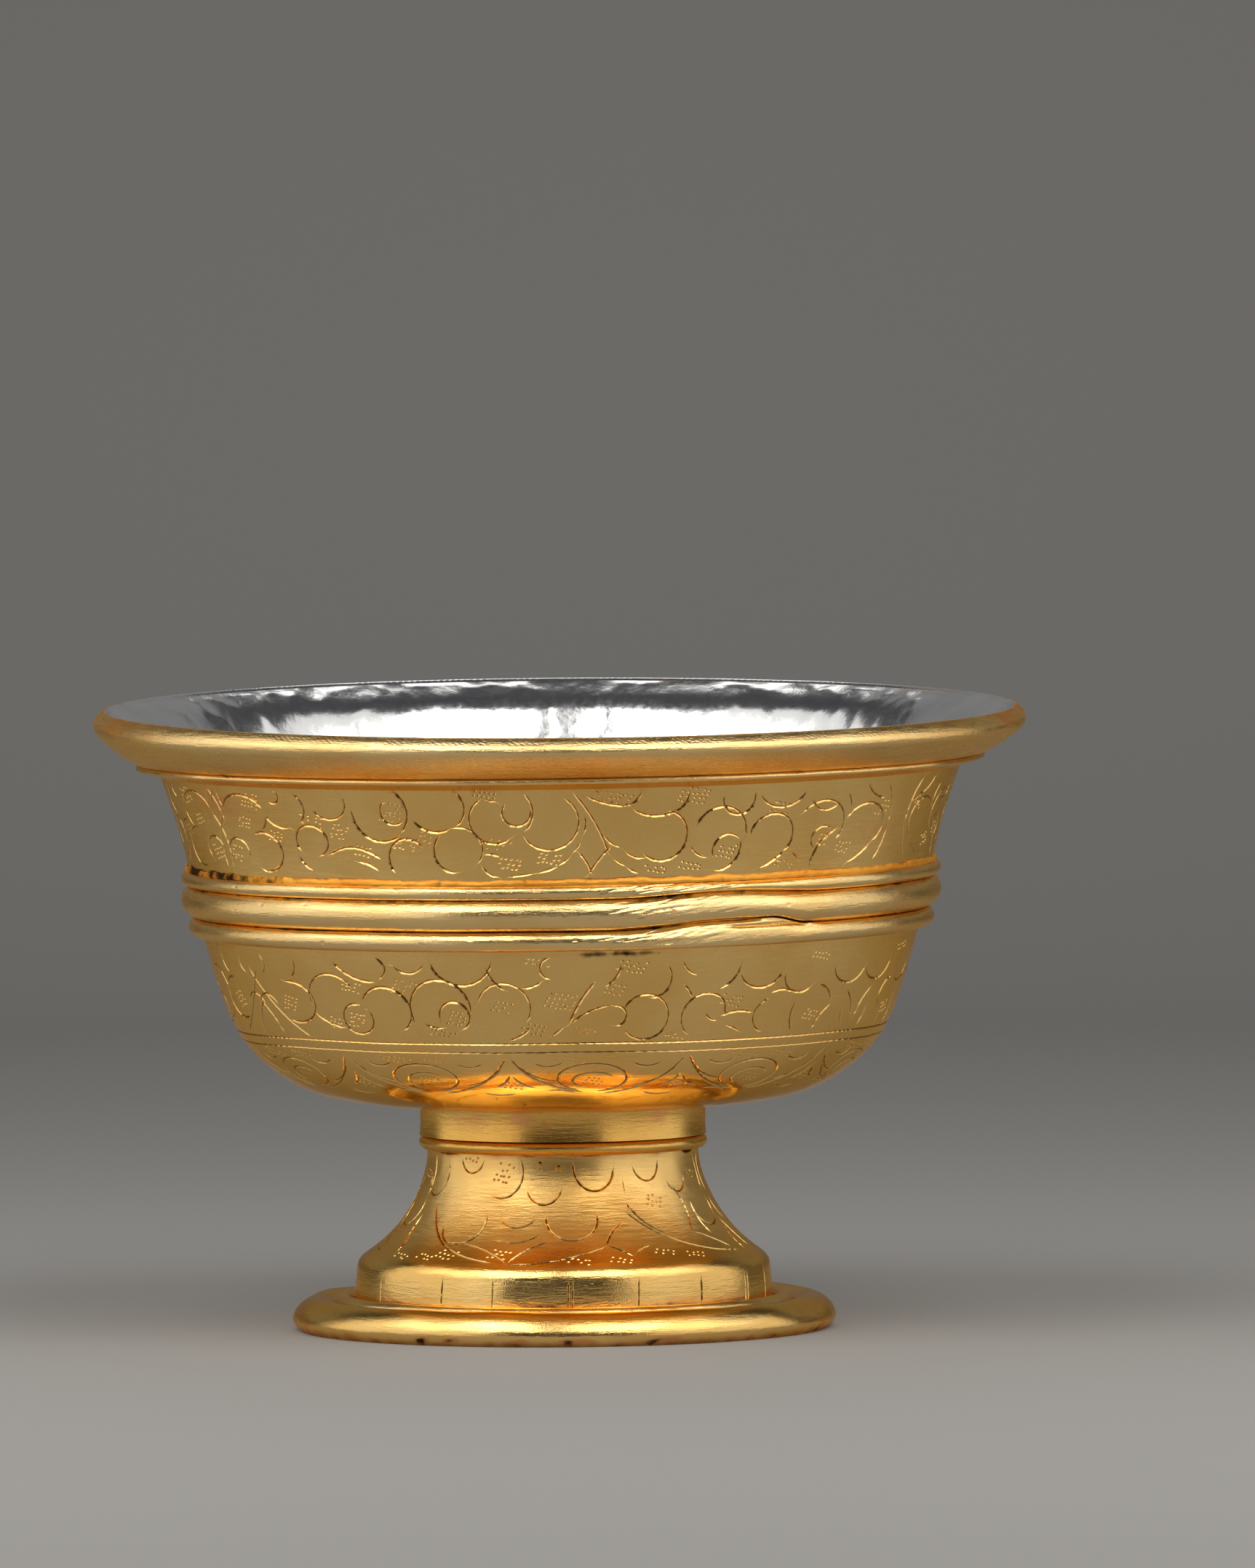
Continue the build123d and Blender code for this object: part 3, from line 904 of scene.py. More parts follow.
@dataclass
class ChasedWall:
    """A turned sheet whose outside is chased and punched, clear of its back seam and its edges."""

    line: SectionLine
    hand: HandWork
    ripples: tuple[Ripple, ...]
    columns: int = 300
    gap: float = 1.3
    grooves: list[Groove] = field(default_factory=list)
    dots: list[Array] = field(default_factory=list)
    punch: Punch = Punch()
    seam: float = math.pi * 0.998
    edge: float = 0.4

    def chase(self, strokes: Ornament, patches: Patches, zone: Zone, chisel: Chisel, rng: Random) -> None:
        """Works one repeat of the ornament, leaving out what would cross the back seam or an edge.

        Args:
            strokes: its scrolls and strokes.
            patches: its patches of dots.
            zone: where it lies.
            chisel: the tool that cuts the strokes.
            rng: source of what is uneven.
        """
        for stroke in strokes:
            places = zone.lay(stroke.path(zone.scale, chisel.step))
            inside = np.flatnonzero(self.on_wall(places))
            if np.abs(places[:, 0]).max() > self.seam or len(inside) < 2:
                continue
            for part in np.split(inside, np.flatnonzero(np.diff(inside) > 1) + 1):
                if len(part) > 4:
                    full = chisel.fullness(places[part], zone.radius, rng)
                    self.grooves.append(chisel.groove(places[part], full))
        for patch in patches:
            laid = zone.lay(self.punch.patch(patch, zone.scale, rng))
            self.dots.append(laid[self.on_wall(laid)])

    def on_wall(self, places: Array) -> Array:
        """True for the places that are clear of the back seam and the wall's edges."""
        clear = (places[:, 1] > self.edge) & (places[:, 1] < self.line.length - self.edge)
        return clear & (np.abs(places[:, 0]) < self.seam)

    def scribe(self, height: float, chisel: Chisel, rng: Random) -> None:
        """Cuts a line all the way round, which closes at the back.

        Args:
            height: height of the line.
            chisel: the tool.
            rng: source of its uneven hits.
        """
        theta = np.linspace(-math.pi, math.pi, 901)
        run = self.line.run_at(height) + 0.06 * np.cos(3 * theta + 1.0) + 0.04 * np.cos(7 * theta)
        places = np.stack([theta, run], axis=1)
        full = chisel.fullness(places, float(self.line.radius_at(height)), rng)
        full[[0, -1]] = 0.8
        self.grooves.append(chisel.groove(places, full))

    def place(self, theta: Array, run: Array, depth: Array | float = 0.0) -> Array:
        """Points of the wall at angles and runs, depth below its plain outside."""
        lift = sum(ripple.at(theta, run) for ripple in self.ripples)
        return self.hand.place(theta, *self.line.at(run, depth - lift))

    def facing(self, theta: Array, run: Array) -> Array:
        """Finds which way the plain outside faces.

        Args:
            theta: angles round the bowl.
            run: runs along the section.

        Returns:
            Unit normals.
        """
        turn, step = 0.0005, 0.02
        low, high = np.clip(run - step, 0, self.line.length), np.clip(run + step, 0, self.line.length)
        across = self.place(theta + turn, run) - self.place(theta - turn, run)
        normal = np.cross(across, self.place(theta, high) - self.place(theta, low))
        return normal / np.linalg.norm(normal, axis=1)[:, None]

    def triangulate(self) -> tuple[Array, Array, Array]:
        """Meshes the flat map of the wall so that every cut has its own edges.

        Returns:
            Places (angle, run) of the vertices, their depths, and the triangles.
        """
        sheet = FlatMap.of(self.line)
        cuts = [sheet.lay_groove(groove) for groove in self.grooves]
        chains = [chain for cut in cuts for chain in cut.outline()]
        dots = np.concatenate(self.dots)
        spots = sheet.lay(dots)
        reach = self.punch.size * sheet.unit / self.line.at(dots[:, 1])[0]
        drawn = sheet.inside(np.concatenate(chains + [self.punch.outline(spots, reach)]))
        ends = np.cumsum([len(chain) for chain in chains])
        first = np.delete(np.arange(ends[-1]), ends - 1)
        edges = np.stack([first, first + 1], axis=1)
        points = np.concatenate([drawn, sheet.grid(self.columns, self.gap, drawn)])
        found = delaunay_2d_cdt(points.tolist(), edges.tolist(), [], 0, 1e-4, False)
        flat = np.array(found[0], float)
        depth = self.punch.sink(flat, spots, reach)
        for cut in cuts:
            cut.sink(flat, depth)
        depth[sheet.at_ends(flat)] = 0.0
        triangles = sheet.close_seam(flat, np.array(found[2], int))
        used, packed = np.unique(triangles, return_inverse=True)
        return sheet.lift(flat[used]), depth[used], packed.reshape(-1, 3)

    def add_to(self, draft: MeshDraft) -> WallMesh:
        """Adds the wall to a draft, with soft normals on the plain sheet and hard ones in the cuts.

        Args:
            draft: the draft.

        Returns:
            What the draft now holds.
        """
        places, depth, triangles = self.triangulate()
        points = self.place(places[:, 0], places[:, 1], depth)
        index = draft.add(points)
        draft.faces.append(index[triangles])
        corners = points[triangles]
        flat = np.cross(corners[:, 1] - corners[:, 0], corners[:, 2] - corners[:, 0])
        flat /= np.maximum(np.linalg.norm(flat, axis=1), 1e-12)[:, None]
        plain = (depth[triangles].max(axis=1) < 1e-4)[:, None, None]
        smooth = self.facing(places[:, 0], places[:, 1])[triangles]
        normals = np.where(plain, smooth, flat[:, None, :]).reshape(-1, 3)
        loops = []
        for edge in (0.0, self.line.length):
            loop = np.flatnonzero(np.abs(places[:, 1] - edge) < 1e-4)
            loops.append(index[loop[np.argsort(places[loop, 0])]])
        return WallMesh(*loops, places, depth, normals)

    def inside(self, sheet: float, count: int) -> Iterable[Array]:
        """Follows the inner face of the sheet from its upper edge down.

        Args:
            sheet: thickness of the sheet.
            count: number of loops.

        Returns:
            Points of each loop.
        """
        theta = circle(self.columns)
        runs = np.linspace(self.line.length, 0.0, count)
        return (self.place(theta, np.full_like(theta, run), sheet) for run in runs)


# Finishes


class Shader:
    """A node material under construction; its noises read Object coordinates."""

    def __init__(self, name: str) -> None:
        """Starts from the principled surface.

        Args:
            name: name of the material.
        """
        self.material = bpy.data.materials.new(name)
        self.material.use_nodes = True
        self.nodes = self.material.node_tree.nodes
        self.links = self.material.node_tree.links
        self.surface = self.nodes["Principled BSDF"]
        self.where = self.add("ShaderNodeTexCoord").outputs["Object"]

    def add(self, kind: str, options: dict | None = None, sockets: dict | None = None) -> bpy.types.Node:
        """Adds a node.

        Args:
            kind: type of the node.
            options: its settings by name.
            sockets: what feeds its sockets, by name or number.

        Returns:
            The node.
        """
        node = self.nodes.new(kind)
        for name, value in (options or {}).items():
            setattr(node, name, value)
        for key, value in (sockets or {}).items():
            self.feed(node.inputs[key], value)
        return node

    def feed(self, socket: Socket, value: Feed) -> None:
        """Links an output to a socket, or sets the socket to a value.

        Args:
            socket: the socket.
            value: an output, a number or a colour.
        """
        if isinstance(value, Socket):
            self.links.new(value, socket)
        else:
            socket.default_value = value

    def plus(self, base: Feed, value: Feed, share: Feed = 1.0) -> Socket:
        """Adds a share of a value to a base."""
        sockets = {0: value, 1: share, 2: base}
        return self.add("ShaderNodeMath", {"operation": "MULTIPLY_ADD"}, sockets).outputs[0]

    def mix(self, share: Feed, a: Feed, b: Feed) -> Socket:
        """Colour between two colours."""
        return self.add("ShaderNodeMix", {"data_type": "RGBA"}, {0: share, 6: a, 7: b}).outputs[2]

    def ramp(self, value: Feed, start: Point, end: Point) -> Socket:
        """Smooth change of a value between two limits, each given with its result."""
        sockets = {0: value, 1: start[0], 2: end[0], 3: start[1], 4: end[1]}
        return self.add("ShaderNodeMapRange", {"interpolation_type": "SMOOTHSTEP"}, sockets).outputs[0]

    def noise(self, scale: float, detail: float = 2.0, flatten: float = 1.0) -> Socket:
        """Adds cloud noise.

        Args:
            scale: cells to the metre.
            detail: how many finer noises it sums.
            flatten: how many times lower than wide its clouds are.

        Returns:
            The noise.
        """
        sockets = {"Vector": self.where, "Scale": (1.0, 1.0, flatten)}
        spread = self.add("ShaderNodeMapping", None, sockets).outputs[0]
        sockets = {"Vector": spread, "Scale": scale, "Detail": detail}
        return self.add("ShaderNodeTexNoise", None, sockets).outputs[0]

    def value(self, name: str) -> Socket:
        """Value that the vertices carry under a name."""
        return self.add("ShaderNodeAttribute", {"attribute_name": name}).outputs["Fac"]

    def relief(self, height: Feed, depth: float, strength: float = 1.0) -> None:
        """Feeds the surface with fine relief.

        Args:
            height: shape of the relief, from 0 to 1.
            depth: its depth in metres.
            strength: how much of it shows.
        """
        sockets = {"Height": height, "Distance": depth, "Strength": strength}
        bumps = self.add("ShaderNodeBump", None, sockets)
        self.feed(self.surface.inputs["Normal"], bumps.outputs[0])

    def paint(self, colour: Feed, roughness: Feed, metallic: float = 1.0) -> Material:
        """Feeds the surface.

        Args:
            colour: its colour.
            roughness: its roughness.
            metallic: 1 for metal, 0 for other stuff.

        Returns:
            The material.
        """
        self.feed(self.surface.inputs["Base Color"], colour)
        self.feed(self.surface.inputs["Roughness"], roughness)
        self.feed(self.surface.inputs["Metallic"], metallic)
        return self.material


@dataclass(frozen=True)
class Gilding:
    """Fire gilding over copper, brushed and rubbed bright, with copper and soot where it wore, painted
    shade in grooves from the soot colour, and dirt with painted shade in the cuts.
    """

    name: str
    roughness: float
    brush: float
    satin: float = 0.25
    gold: Colour = (0.97, 0.64, 0.225, 1.0)
    deep: Colour = (0.92, 0.565, 0.17, 1.0)
    copper: Colour = (0.85, 0.40, 0.14, 1.0)
    # soot colour: soot where it wore, and painted shade in the grooves beside the waist rings and under the
    # lip
    soot_and_shade: Colour = (0.05, 0.025, 0.012, 1.0)
    # colour of the cuts: dirt in them, and painted shade
    cut_dirt_and_shade: Colour = (0.27, 0.12, 0.038, 1.0)
    edge: Colour = (1.0, 0.74, 0.42, 1.0)

    def material(self) -> Material:
        """Builds the node material.

        Returns:
            The material.
        """
        shader = Shader(self.name)
        cloud = shader.ramp(shader.noise(70.0, 3.0), (0.35, 0.0), (0.7, 1.0))
        grain = shader.noise(900.0, 3.0)
        brushed = shader.noise(260.0, 4.0, 9.0)
        fine = shader.plus(shader.noise(5200.0), shader.noise(700.0, 3.0, 8.0))
        patchy = shader.ramp(grain, (0.2, 0.55), (0.75, 1.25))
        worn = shader.plus(0.0, shader.value("wear"), patchy)
        # soot value with noise: real soot, and painted shade in grooves
        soot_and_shade_level = shader.plus(shader.value("soot_and_shade"), shader.noise(520.0, 4.0), 0.9)
        dark = shader.ramp(soot_and_shade_level, (0.85, 0.0), (1.25, 1.0))
        cut = shader.value("cut")
        colour = shader.mix(cloud, self.gold, self.deep)
        colour = shader.mix(shader.ramp(worn, (0.05, 0.0), (0.95, 1.0)), colour, self.copper)
        colour = shader.mix(dark, colour, self.soot_and_shade)
        # darkens the cuts with dirt and painted shade, so the chased lines read dark
        colour = shader.mix(shader.ramp(cut, (0.42, 0.0), (0.85, 0.85)), colour, self.cut_dirt_and_shade)
        rough = shader.plus(self.roughness, shader.plus(-0.5, brushed), 0.2)
        for value, share in (
            (dark, 0.3),
            (worn, 0.12),
            (cut, -0.5 * self.roughness),
            (shader.value("shine"), -0.6 * self.roughness),
        ):
            rough = shader.plus(rough, value, share)
        texture = shader.plus(shader.plus(brushed, grain, 0.35), fine, self.satin)
        shader.relief(texture, 0.00003 * self.brush)
        shader.feed(shader.surface.inputs["Specular Tint"], self.edge)
        return shader.paint(colour, rough)


@dataclass(frozen=True)
class PlainMetal:
    """Metal without gilding: a colour that clouds into another, and grain."""

    name: str
    bright: Colour
    dull: Colour
    roughness: float
    grain: float
    depth: float = 0.00004

    def material(self) -> Material:
        """Builds the node material.

        Returns:
            The material.
        """
        shader = Shader(self.name)
        cloud = shader.ramp(shader.noise(120.0, 4.0), (0.35, 0.0), (0.75, 1.0))
        grain = shader.noise(1400.0, 3.0)
        shader.relief(grain, self.depth, 0.5)
        colour = shader.mix(cloud, self.bright, self.dull)
        return shader.paint(colour, shader.plus(self.roughness, grain, self.grain))


PALE_GOLD = {"gold": (0.96, 0.69, 0.31, 1.0), "deep": (0.92, 0.61, 0.24, 1.0)}
RICH_GOLD = {"gold": (0.93, 0.57, 0.16, 1.0), "deep": (0.88, 0.49, 0.11, 1.0)}
BURNT_GOLD = {"gold": (0.92, 0.46, 0.07, 1.0), "deep": (0.82, 0.34, 0.045, 1.0)}


class Finish(Enum):
    """Finishes of the bowl."""

    WALL = Gilding("wall_gilding", 0.25, 0.65)
    RING = Gilding("ring_gilding", 0.23, 2.0, 0.4, **PALE_GOLD)
    LIP = Gilding("lip_gilding", 0.27, 2.8, 0.4, **PALE_GOLD)
    FOOT = Gilding("foot_gilding", 0.32, 1.3, 0.5)
    COLLAR = Gilding("collar_gilding", 0.25, 1.5, 0.4, **RICH_GOLD)
    BURNT = Gilding("burnt_gilding", 0.5, 2.2, 0.5, **BURNT_GOLD)
    SILVER = PlainMetal("hammered_silver", (0.93, 0.945, 0.955, 1.0), (0.8, 0.825, 0.84, 1.0), 0.09, 0.19)
    COPPER = PlainMetal("bare_copper", (0.62, 0.30, 0.17, 1.0), (0.30, 0.14, 0.09, 1.0), 0.34, 0.3)
    SOLDER = PlainMetal("dull_solder", (0.60, 0.50, 0.36, 1.0), (0.34, 0.26, 0.18, 1.0), 0.4, 0.25)


# Pieces


@dataclass
class Piece:
    """A part of the bowl that stands for the CAD node of the same name."""

    node: str
    slot: Slot
    materials: tuple[Material, ...]
    hand: HandWork

    @property
    def name(self) -> str:
        """Name of the mesh object."""
        return f"{self.node}_skin"

    def build(self) -> Thing:
        """Makes the mesh object."""
        raise NotImplementedError

    def dress(self) -> None:
        """Builds the piece and ties it to the frame."""
        piece = self.build()
        for material in self.materials:
            piece.data.materials.append(material)
        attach(piece, "root")
        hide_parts(self.node)
        log.info("%s has %d faces", piece.name, len(piece.data.polygons))


@dataclass
class TurnedRing(Piece):
    """A closed section turned round the axis, whose steps in lined take the second material."""

    section: Array
    ripple: Ripple
    columns: int = 480
    lined: tuple[int, int] = (0, 0)

    @property
    def edges(self) -> Point:
        """Heights of the ring's lower and upper edge."""
        return float(self.section[:, 1].min()), float(self.section[:, 1].max())

    def angles(self) -> Array:
        """Angles of the points round the ring."""
        return circle(self.columns)

    def shape(self, theta: Array, radius: Array, height: Array) -> tuple[Array, Array]:
        """Moves points of the turned ring before the hand work; returns their radius and height."""
        return radius + self.ripple.at(theta, height), height

    def values(self, theta: Array, radius: Array, height: Array) -> Values:
        """Wear and soot at points of the turned ring, by name."""
        return {"wear": np.zeros_like(radius), "soot_and_shade": np.zeros_like(radius)}

    def build(self) -> Thing:
        """Makes the closed ring by carrying its section round the axis.

        Returns:
            The mesh object.
        """
        shape = (self.columns, len(self.section))
        theta = np.broadcast_to(self.angles()[:, None], shape)
        radius = np.broadcast_to(self.section[:, 0], shape)
        height = np.broadcast_to(self.section[:, 1], shape)
        draft = MeshDraft()
        a = draft.add(self.hand.place(theta, *self.shape(theta, radius, height))).reshape(shape)
        b, d = np.roll(a, -1, axis=0), np.roll(a, -1, axis=1)
        draft.faces.append(np.stack([a, b, np.roll(b, -1, axis=1), d], axis=-1).reshape(-1, 4))
        piece = draft.write(self.name)
        give_values(piece, self.values(theta, radius, height))
        lining = np.zeros(shape, np.int32)
        lining[:, slice(*self.lined)] = 1
        piece.data.polygons.foreach_set("material_index", lining.ravel())
        return piece


@dataclass(frozen=True)
class ScarfJoint:
    """Where the waist strips were lapped, soldered and filed: angles in degrees, lengths in mm.

    Attributes:
        start, full: where the lap begins to lift the grooves, and where the lift is full.
        end: where the upper strip ends.
        lift, lap: how far the upper and the lower groove are lifted.
        seam: height of the groove between the lower bead and the belt.
        calm: width along the waist's edges where the lift fades out.
        fill_radius: how far out the solder at the lap's end reaches.
    """

    start: float = 7.0
    full: float = 27.0
    end: float = 34.0
    lift: float = 0.75
    lap: float = 0.95
    seam: float = 56.5
    calm: float = 2.4
    groove_depth: float = 0.32
    groove_width: float = 0.16
    burr_height: float = 0.16
    fill_radius: float = 50.2
    marks: int = 130

    def window(self, theta: Array) -> Array:
        """1 where the joint was filed, 0 away from it."""
        return between(np.degrees(theta), self.start, 6.0, self.end, 14.0)

    def rise(self, theta: Array, height: Array, low: float, high: float) -> Array:
        """Finds how far the lap lifts the rings: by smooth steps up and down that fade at the edges.

        Args:
            theta, height: places on the rings.
            low, high: lower and upper edge of the waist.

        Returns:
            Lift at the places.
        """
        turn = np.degrees(theta)
        climb = self.full - self.start
        upper = self.lift * between(turn, self.start, climb, self.full, 18.0)
        lower = self.lap * between(turn, self.start, climb, self.end, 7.0)
        share = ease((height - self.seam) / 3.0)
        fade = between(height, low, self.calm, high - self.calm, self.calm)
        return fade * (lower * (1.0 - share) + upper * share)

    def second_groove(self, theta: Array, height: Array) -> Array:
        """Sinks the groove that starts under the lap and runs on, a bell across its climbing level.

        Args:
            theta, height: places on the rings.

        Returns:
            Depth at the places.
        """
        turn = np.degrees(theta)
        along = between(turn, self.full - 3.0, 5.0, self.end + 5.0, 3.0)
        level = self.seam - 0.8 + 0.6 * ease((turn - self.end) / 6.0)
        return self.groove_depth * along * bump(height, level, self.groove_width)

    def solder(self, theta: Array, radius: Array, height: Array) -> Array:
        """Rise of the solder that fills the groove at the lap's end."""
        along = between(np.degrees(theta), self.end - 5.0, 5.0, self.end + 6.0, 6.0)
        return along * bump(height, self.seam, 1.2) * np.maximum(self.fill_radius - radius, 0.0)

    def burr(self, theta: Array, height: Array) -> Array:
        """Raises the ragged lip along the lapped edge, a bell across it that two sines break up.

        Args:
            theta, height: places on the rings.

        Returns:
            Height at the places.
        """
        turn = np.degrees(theta)
        along = between(turn, 15.0, 4.0, self.end, 2.0)
        ragged = 0.6 + 0.4 * np.sin(41.0 * turn / 6.0) * np.sin(29.0 * turn / 10.0)
        return self.burr_height * along * ragged * bump(height, self.seam + 0.3, self.groove_width)

    def file_marks(self, theta: Array, height: Array, edges: Point, crest: float) -> Array:
        """Finds how deep the long slanted marks are that the file left on one ring.

        Args:
            theta, height: places on the ring.
            edges: heights of the ring's lower and upper edge.
            crest: radius of its crest.

        Returns:
            Depth at the places.
        """
        low, high = edges
        rng = np.random.default_rng(int(low * 10))
        depth = np.zeros_like(theta)
        for place, level, length, slope, size in zip(
            np.radians(rng.normal(self.start + 10.0, 5.0, self.marks)),
            rng.uniform(low + 0.5, high - 0.2, self.marks),
            rng.uniform(0.8, 2.6, self.marks),
            rng.uniform(0.02, 0.2, self.marks),
            rng.uniform(0.012, 0.04, self.marks),
        ):
            along = (theta - place) * crest
            depth += size * bump(along, 0.0, length) * bump(height - slope * along, level, 0.12)
        return depth


@dataclass
class WaistRing(TurnedRing):
    """A ring of the waist, which reaches from low to high; its columns crowd together at the joint."""

    low: float = 0.0
    high: float = 0.0
    crest: float = 0.0
    joint: ScarfJoint = ScarfJoint()
    crowd: float = 0.7
    tilt: float = 0.16
    bruises: int = 26

    def angles(self) -> Array:
        """Angles that crowd together at the joint."""
        even = circle(self.columns)
        return even - self.crowd * np.sin(even - math.radians(self.joint.full - 8.0))

    def shape(self, theta: Array, radius: Array, height: Array) -> tuple[Array, Array]:
        """Lifts the grooves at the joint, laps the strip's end over its start and files the ring there.

        Args:
            theta, radius, height: points of the ring.

        Returns:
            Their new radius and height.
        """
        wide, level = super().shape(theta, radius, height)
        back = self.section[-4:, 0].max()
        face = ease((radius - back - 0.1) / 0.3)
        tilt = self.tilt * self.joint.window(theta) * (height - sum(self.edges) / 2)
        marks = self.joint.file_marks(theta, height, self.edges, self.crest)
        marks += self.joint.second_groove(theta, height) - self.joint.burr(theta, height)
        marks -= self.joint.solder(theta, radius, height)
        level = level + self.joint.rise(theta, height, self.low, self.high)
        return wide + face * (self.nicks(theta, height) - tilt - marks), level

    def nicks(self, theta: Array, height: Array) -> Array:
        """Bruises the ring's face.

        Args:
            theta, height: points of the turned ring.

        Returns:
            How far out they are moved, which is below 0.
        """
        rng = np.random.default_rng(int(sum(self.edges) * 5))
        dent = np.zeros_like(theta)
        for place, level, size in zip(
            rng.uniform(-math.pi, math.pi, self.bruises),
            rng.uniform(*self.edges, self.bruises),
            rng.uniform(0.03, 0.1, self.bruises),
        ):
            dent -= size * bump(theta, place, 0.006) * bump(height, level, 0.22)
        return dent

    def values(self, theta: Array, radius: Array, height: Array) -> Values:
        """Paints shade into the grooves beside the ring with the soot colour, and puts copper on its
        bruises.

        Args:
            theta, radius, height: points of the ring.

        Returns:
            Wear at the points, and the painted shade of the grooves in the soot value.
        """
        bottom, top = self.edges
        # painted shade: the soot colour darkens the grooves at the ring's edges
        sunk = 1.0 - ease(np.minimum(height - bottom, top - height) / 0.2)
        patchy = Ripple(0.3, 14.0, 51.0, 5).at(theta, height)
        side = ease((np.abs(theta) - 0.8) / 0.5)
        wear = 0.5 * side * np.clip(0.3 + patchy, 0.0, 1.0) - self.nicks(theta, height) * 4.0
        return {"wear": np.clip(wear, 0, 1), "soot_and_shade": sunk * np.clip(0.48 + 0.3 * patchy, 0.2, 0.7)}


@dataclass
class SolderLine(TurnedRing):
    """The line of solder above the waist, rough and burnt."""

    def shape(self, theta: Array, radius: Array, height: Array) -> tuple[Array, Array]:
        """Lets the solder creep up the wall unevenly.

        Args:
            theta, radius, height: points of the ring.

        Returns:
            Their new radius and height.
        """
        wide, level = super().shape(theta, radius, height)
        base = self.edges[0]
        creep = Ripple(0.12, 6.0, 51.0, 45).round_at(theta) + Ripple(0.03, 1.3, 51.0, 46).round_at(theta)
        return wide, base + (level - base) * (1.0 + creep)

    def values(self, theta: Array, radius: Array, height: Array) -> Values:
        """Puts soot on in specks, and thick towards the left.

        Args:
            theta, radius, height: points of the ring.

        Returns:
            Wear and soot at the points.
        """
        patchy = Ripple(0.08, 9.0, 51.0, 47).at(theta, height)
        left = bump(theta, math.radians(-68.0), 0.3)
        return {"wear": np.full_like(radius, 0.15), "soot_and_shade": np.clip(0.28 + patchy + 0.5 * left, 0.0, 1.0)}


@dataclass
class RimMoulding(TurnedRing):
    """The heavy lip: hatched along its crest, and rubbed down to the copper at the sides."""

    crest: float = 84.0
    widest: float = 63.0
    hatch: float = 0.9
    hatch_across: float = 0.42
    hatch_depth: float = 0.05
    groove_top: float = 78.6

    def shape(self, theta: Array, radius: Array, height: Array) -> tuple[Array, Array]:
        """Hatches a strip beside the crest with slanted marks.

        Args:
            theta, radius, height: points of the ring.

        Returns:
            Their new radius and height.
        """
        wide, level = super().shape(theta, radius, height)
        across = self.widest - radius
        count = round(TURN * self.widest / self.hatch)
        uneven = Ripple(0.9, 9.0, 62.0, 12).round_at(theta)
        mark = np.cos(count * theta + TURN * across / self.hatch_across + uneven)
        strip = ease((height - self.crest + 1.5) / 0.4) * ease((across - 0.15) / 0.3)
        firm = np.clip(0.55 + Ripple(0.35, 5.0, 62.0, 13).round_at(theta), 0.1, 1.0)
        sunk = self.hatch_depth * strip * firm * np.maximum(mark, 0.0) ** 2
        return wide - 0.6 * sunk, level - sunk

    def values(self, theta: Array, radius: Array, height: Array) -> Values:
        """Puts copper along the crest and the sides of the edge, and copper with a painted shade in the
        groove under the lip.

        Args:
            theta, radius, height: points of the ring.

        Returns:
            Wear and soot at the points.
        """
        patchy = Ripple(0.22, 16.0, 62.0, 11).at(theta, height)
        top = ease((height - self.crest + 2.6) / 0.8)
        side = ease((np.abs(theta) - 0.75) / 0.6)
        # the groove under the lip: copper, and the soot colour as painted shade there
        under = np.clip((self.groove_top - height) / 1.4, 0.0, 1.0)
        wear = top * side * (0.62 + patchy) + 0.5 * bump(height, self.crest, 0.22) + 0.3 * under
        return {"wear": np.clip(wear, 0, 1), "soot_and_shade": under * np.clip(0.1 + patchy, 0.0, 0.6)}


@dataclass
class NeckCollar(TurnedRing):
    """The collar, rubbed to the copper under the cup, with one chip at the front."""

    def values(self, theta: Array, radius: Array, height: Array) -> Values:
        """Puts copper towards the top and round the chip.

        Args:
            theta, radius, height: points of the ring.

        Returns:
            Wear and soot at the points.
        """
        low, high = self.edges
        rise = (height - low) / (high - low)
        patchy = Ripple(0.2, 6.0, 19.0, 22).at(theta, height)
        chip = Stain(-7.0, 0.03, 0.55, 0.12).at(theta, rise)
        wear = ease((rise - 0.2) / 0.5) * (0.3 + patchy) + chip
        return {"wear": np.clip(wear, 0, 1), "soot_and_shade": 0.4 * bump(rise, 1.0, 0.08) + 0.3 * chip}


@dataclass
class BaseFlange(TurnedRing):
    """The base flange: a soft domed edge, worn to the copper in spots at angles in degrees."""

    spots: tuple[float, ...] = (-52.0, -31.0, -24.0, -9.0, 1.0, 4.5, 21.0, 24.0)

    def shape(self, theta: Array, radius: Array, height: Array) -> tuple[Array, Array]:
        """Waves the domed top, less and less towards the ground and the bore.

        Args:
            theta, radius, height: points of the ring.

        Returns:
            Their new radius and height.
        """
        dome = ease((radius - 30.0) / 3.0) * ease(height / 1.2)
        wave = self.ripple.at(theta, height)
        return radius + 0.8 * wave * dome, height + wave * dome * ease((height - 2.0) / 1.5)

    def values(self, theta: Array, radius: Array, height: Array) -> Values:
        """Puts copper and dirt along the foot of the edge.

        Args:
            theta, radius, height: points of the ring.

        Returns:
            Wear, soot and shine at the points.
        """
        patchy = Ripple(0.25, 3.0, 36.0, 21).at(theta, height)
        foot = ease((1.3 - height) / 1.0) * ease((radius - 33.0) / 2.0)
        side = ease((np.abs(theta) - 0.9) / 0.5) * ease((radius - 34.0) / 1.5)
        spots = sum(Stain(place, 0.03, 0.9, 0.35).at(theta, height) for place in self.spots)
        wear = foot * (0.6 + patchy) + side * (0.4 + patchy) + spots
        soot_and_shade = np.clip(foot * (0.15 + patchy), 0, 0.55) + 0.35 * spots
        return {"wear": np.clip(wear, 0, 1), "soot_and_shade": soot_and_shade, "shine": np.full_like(radius, 0.75)}


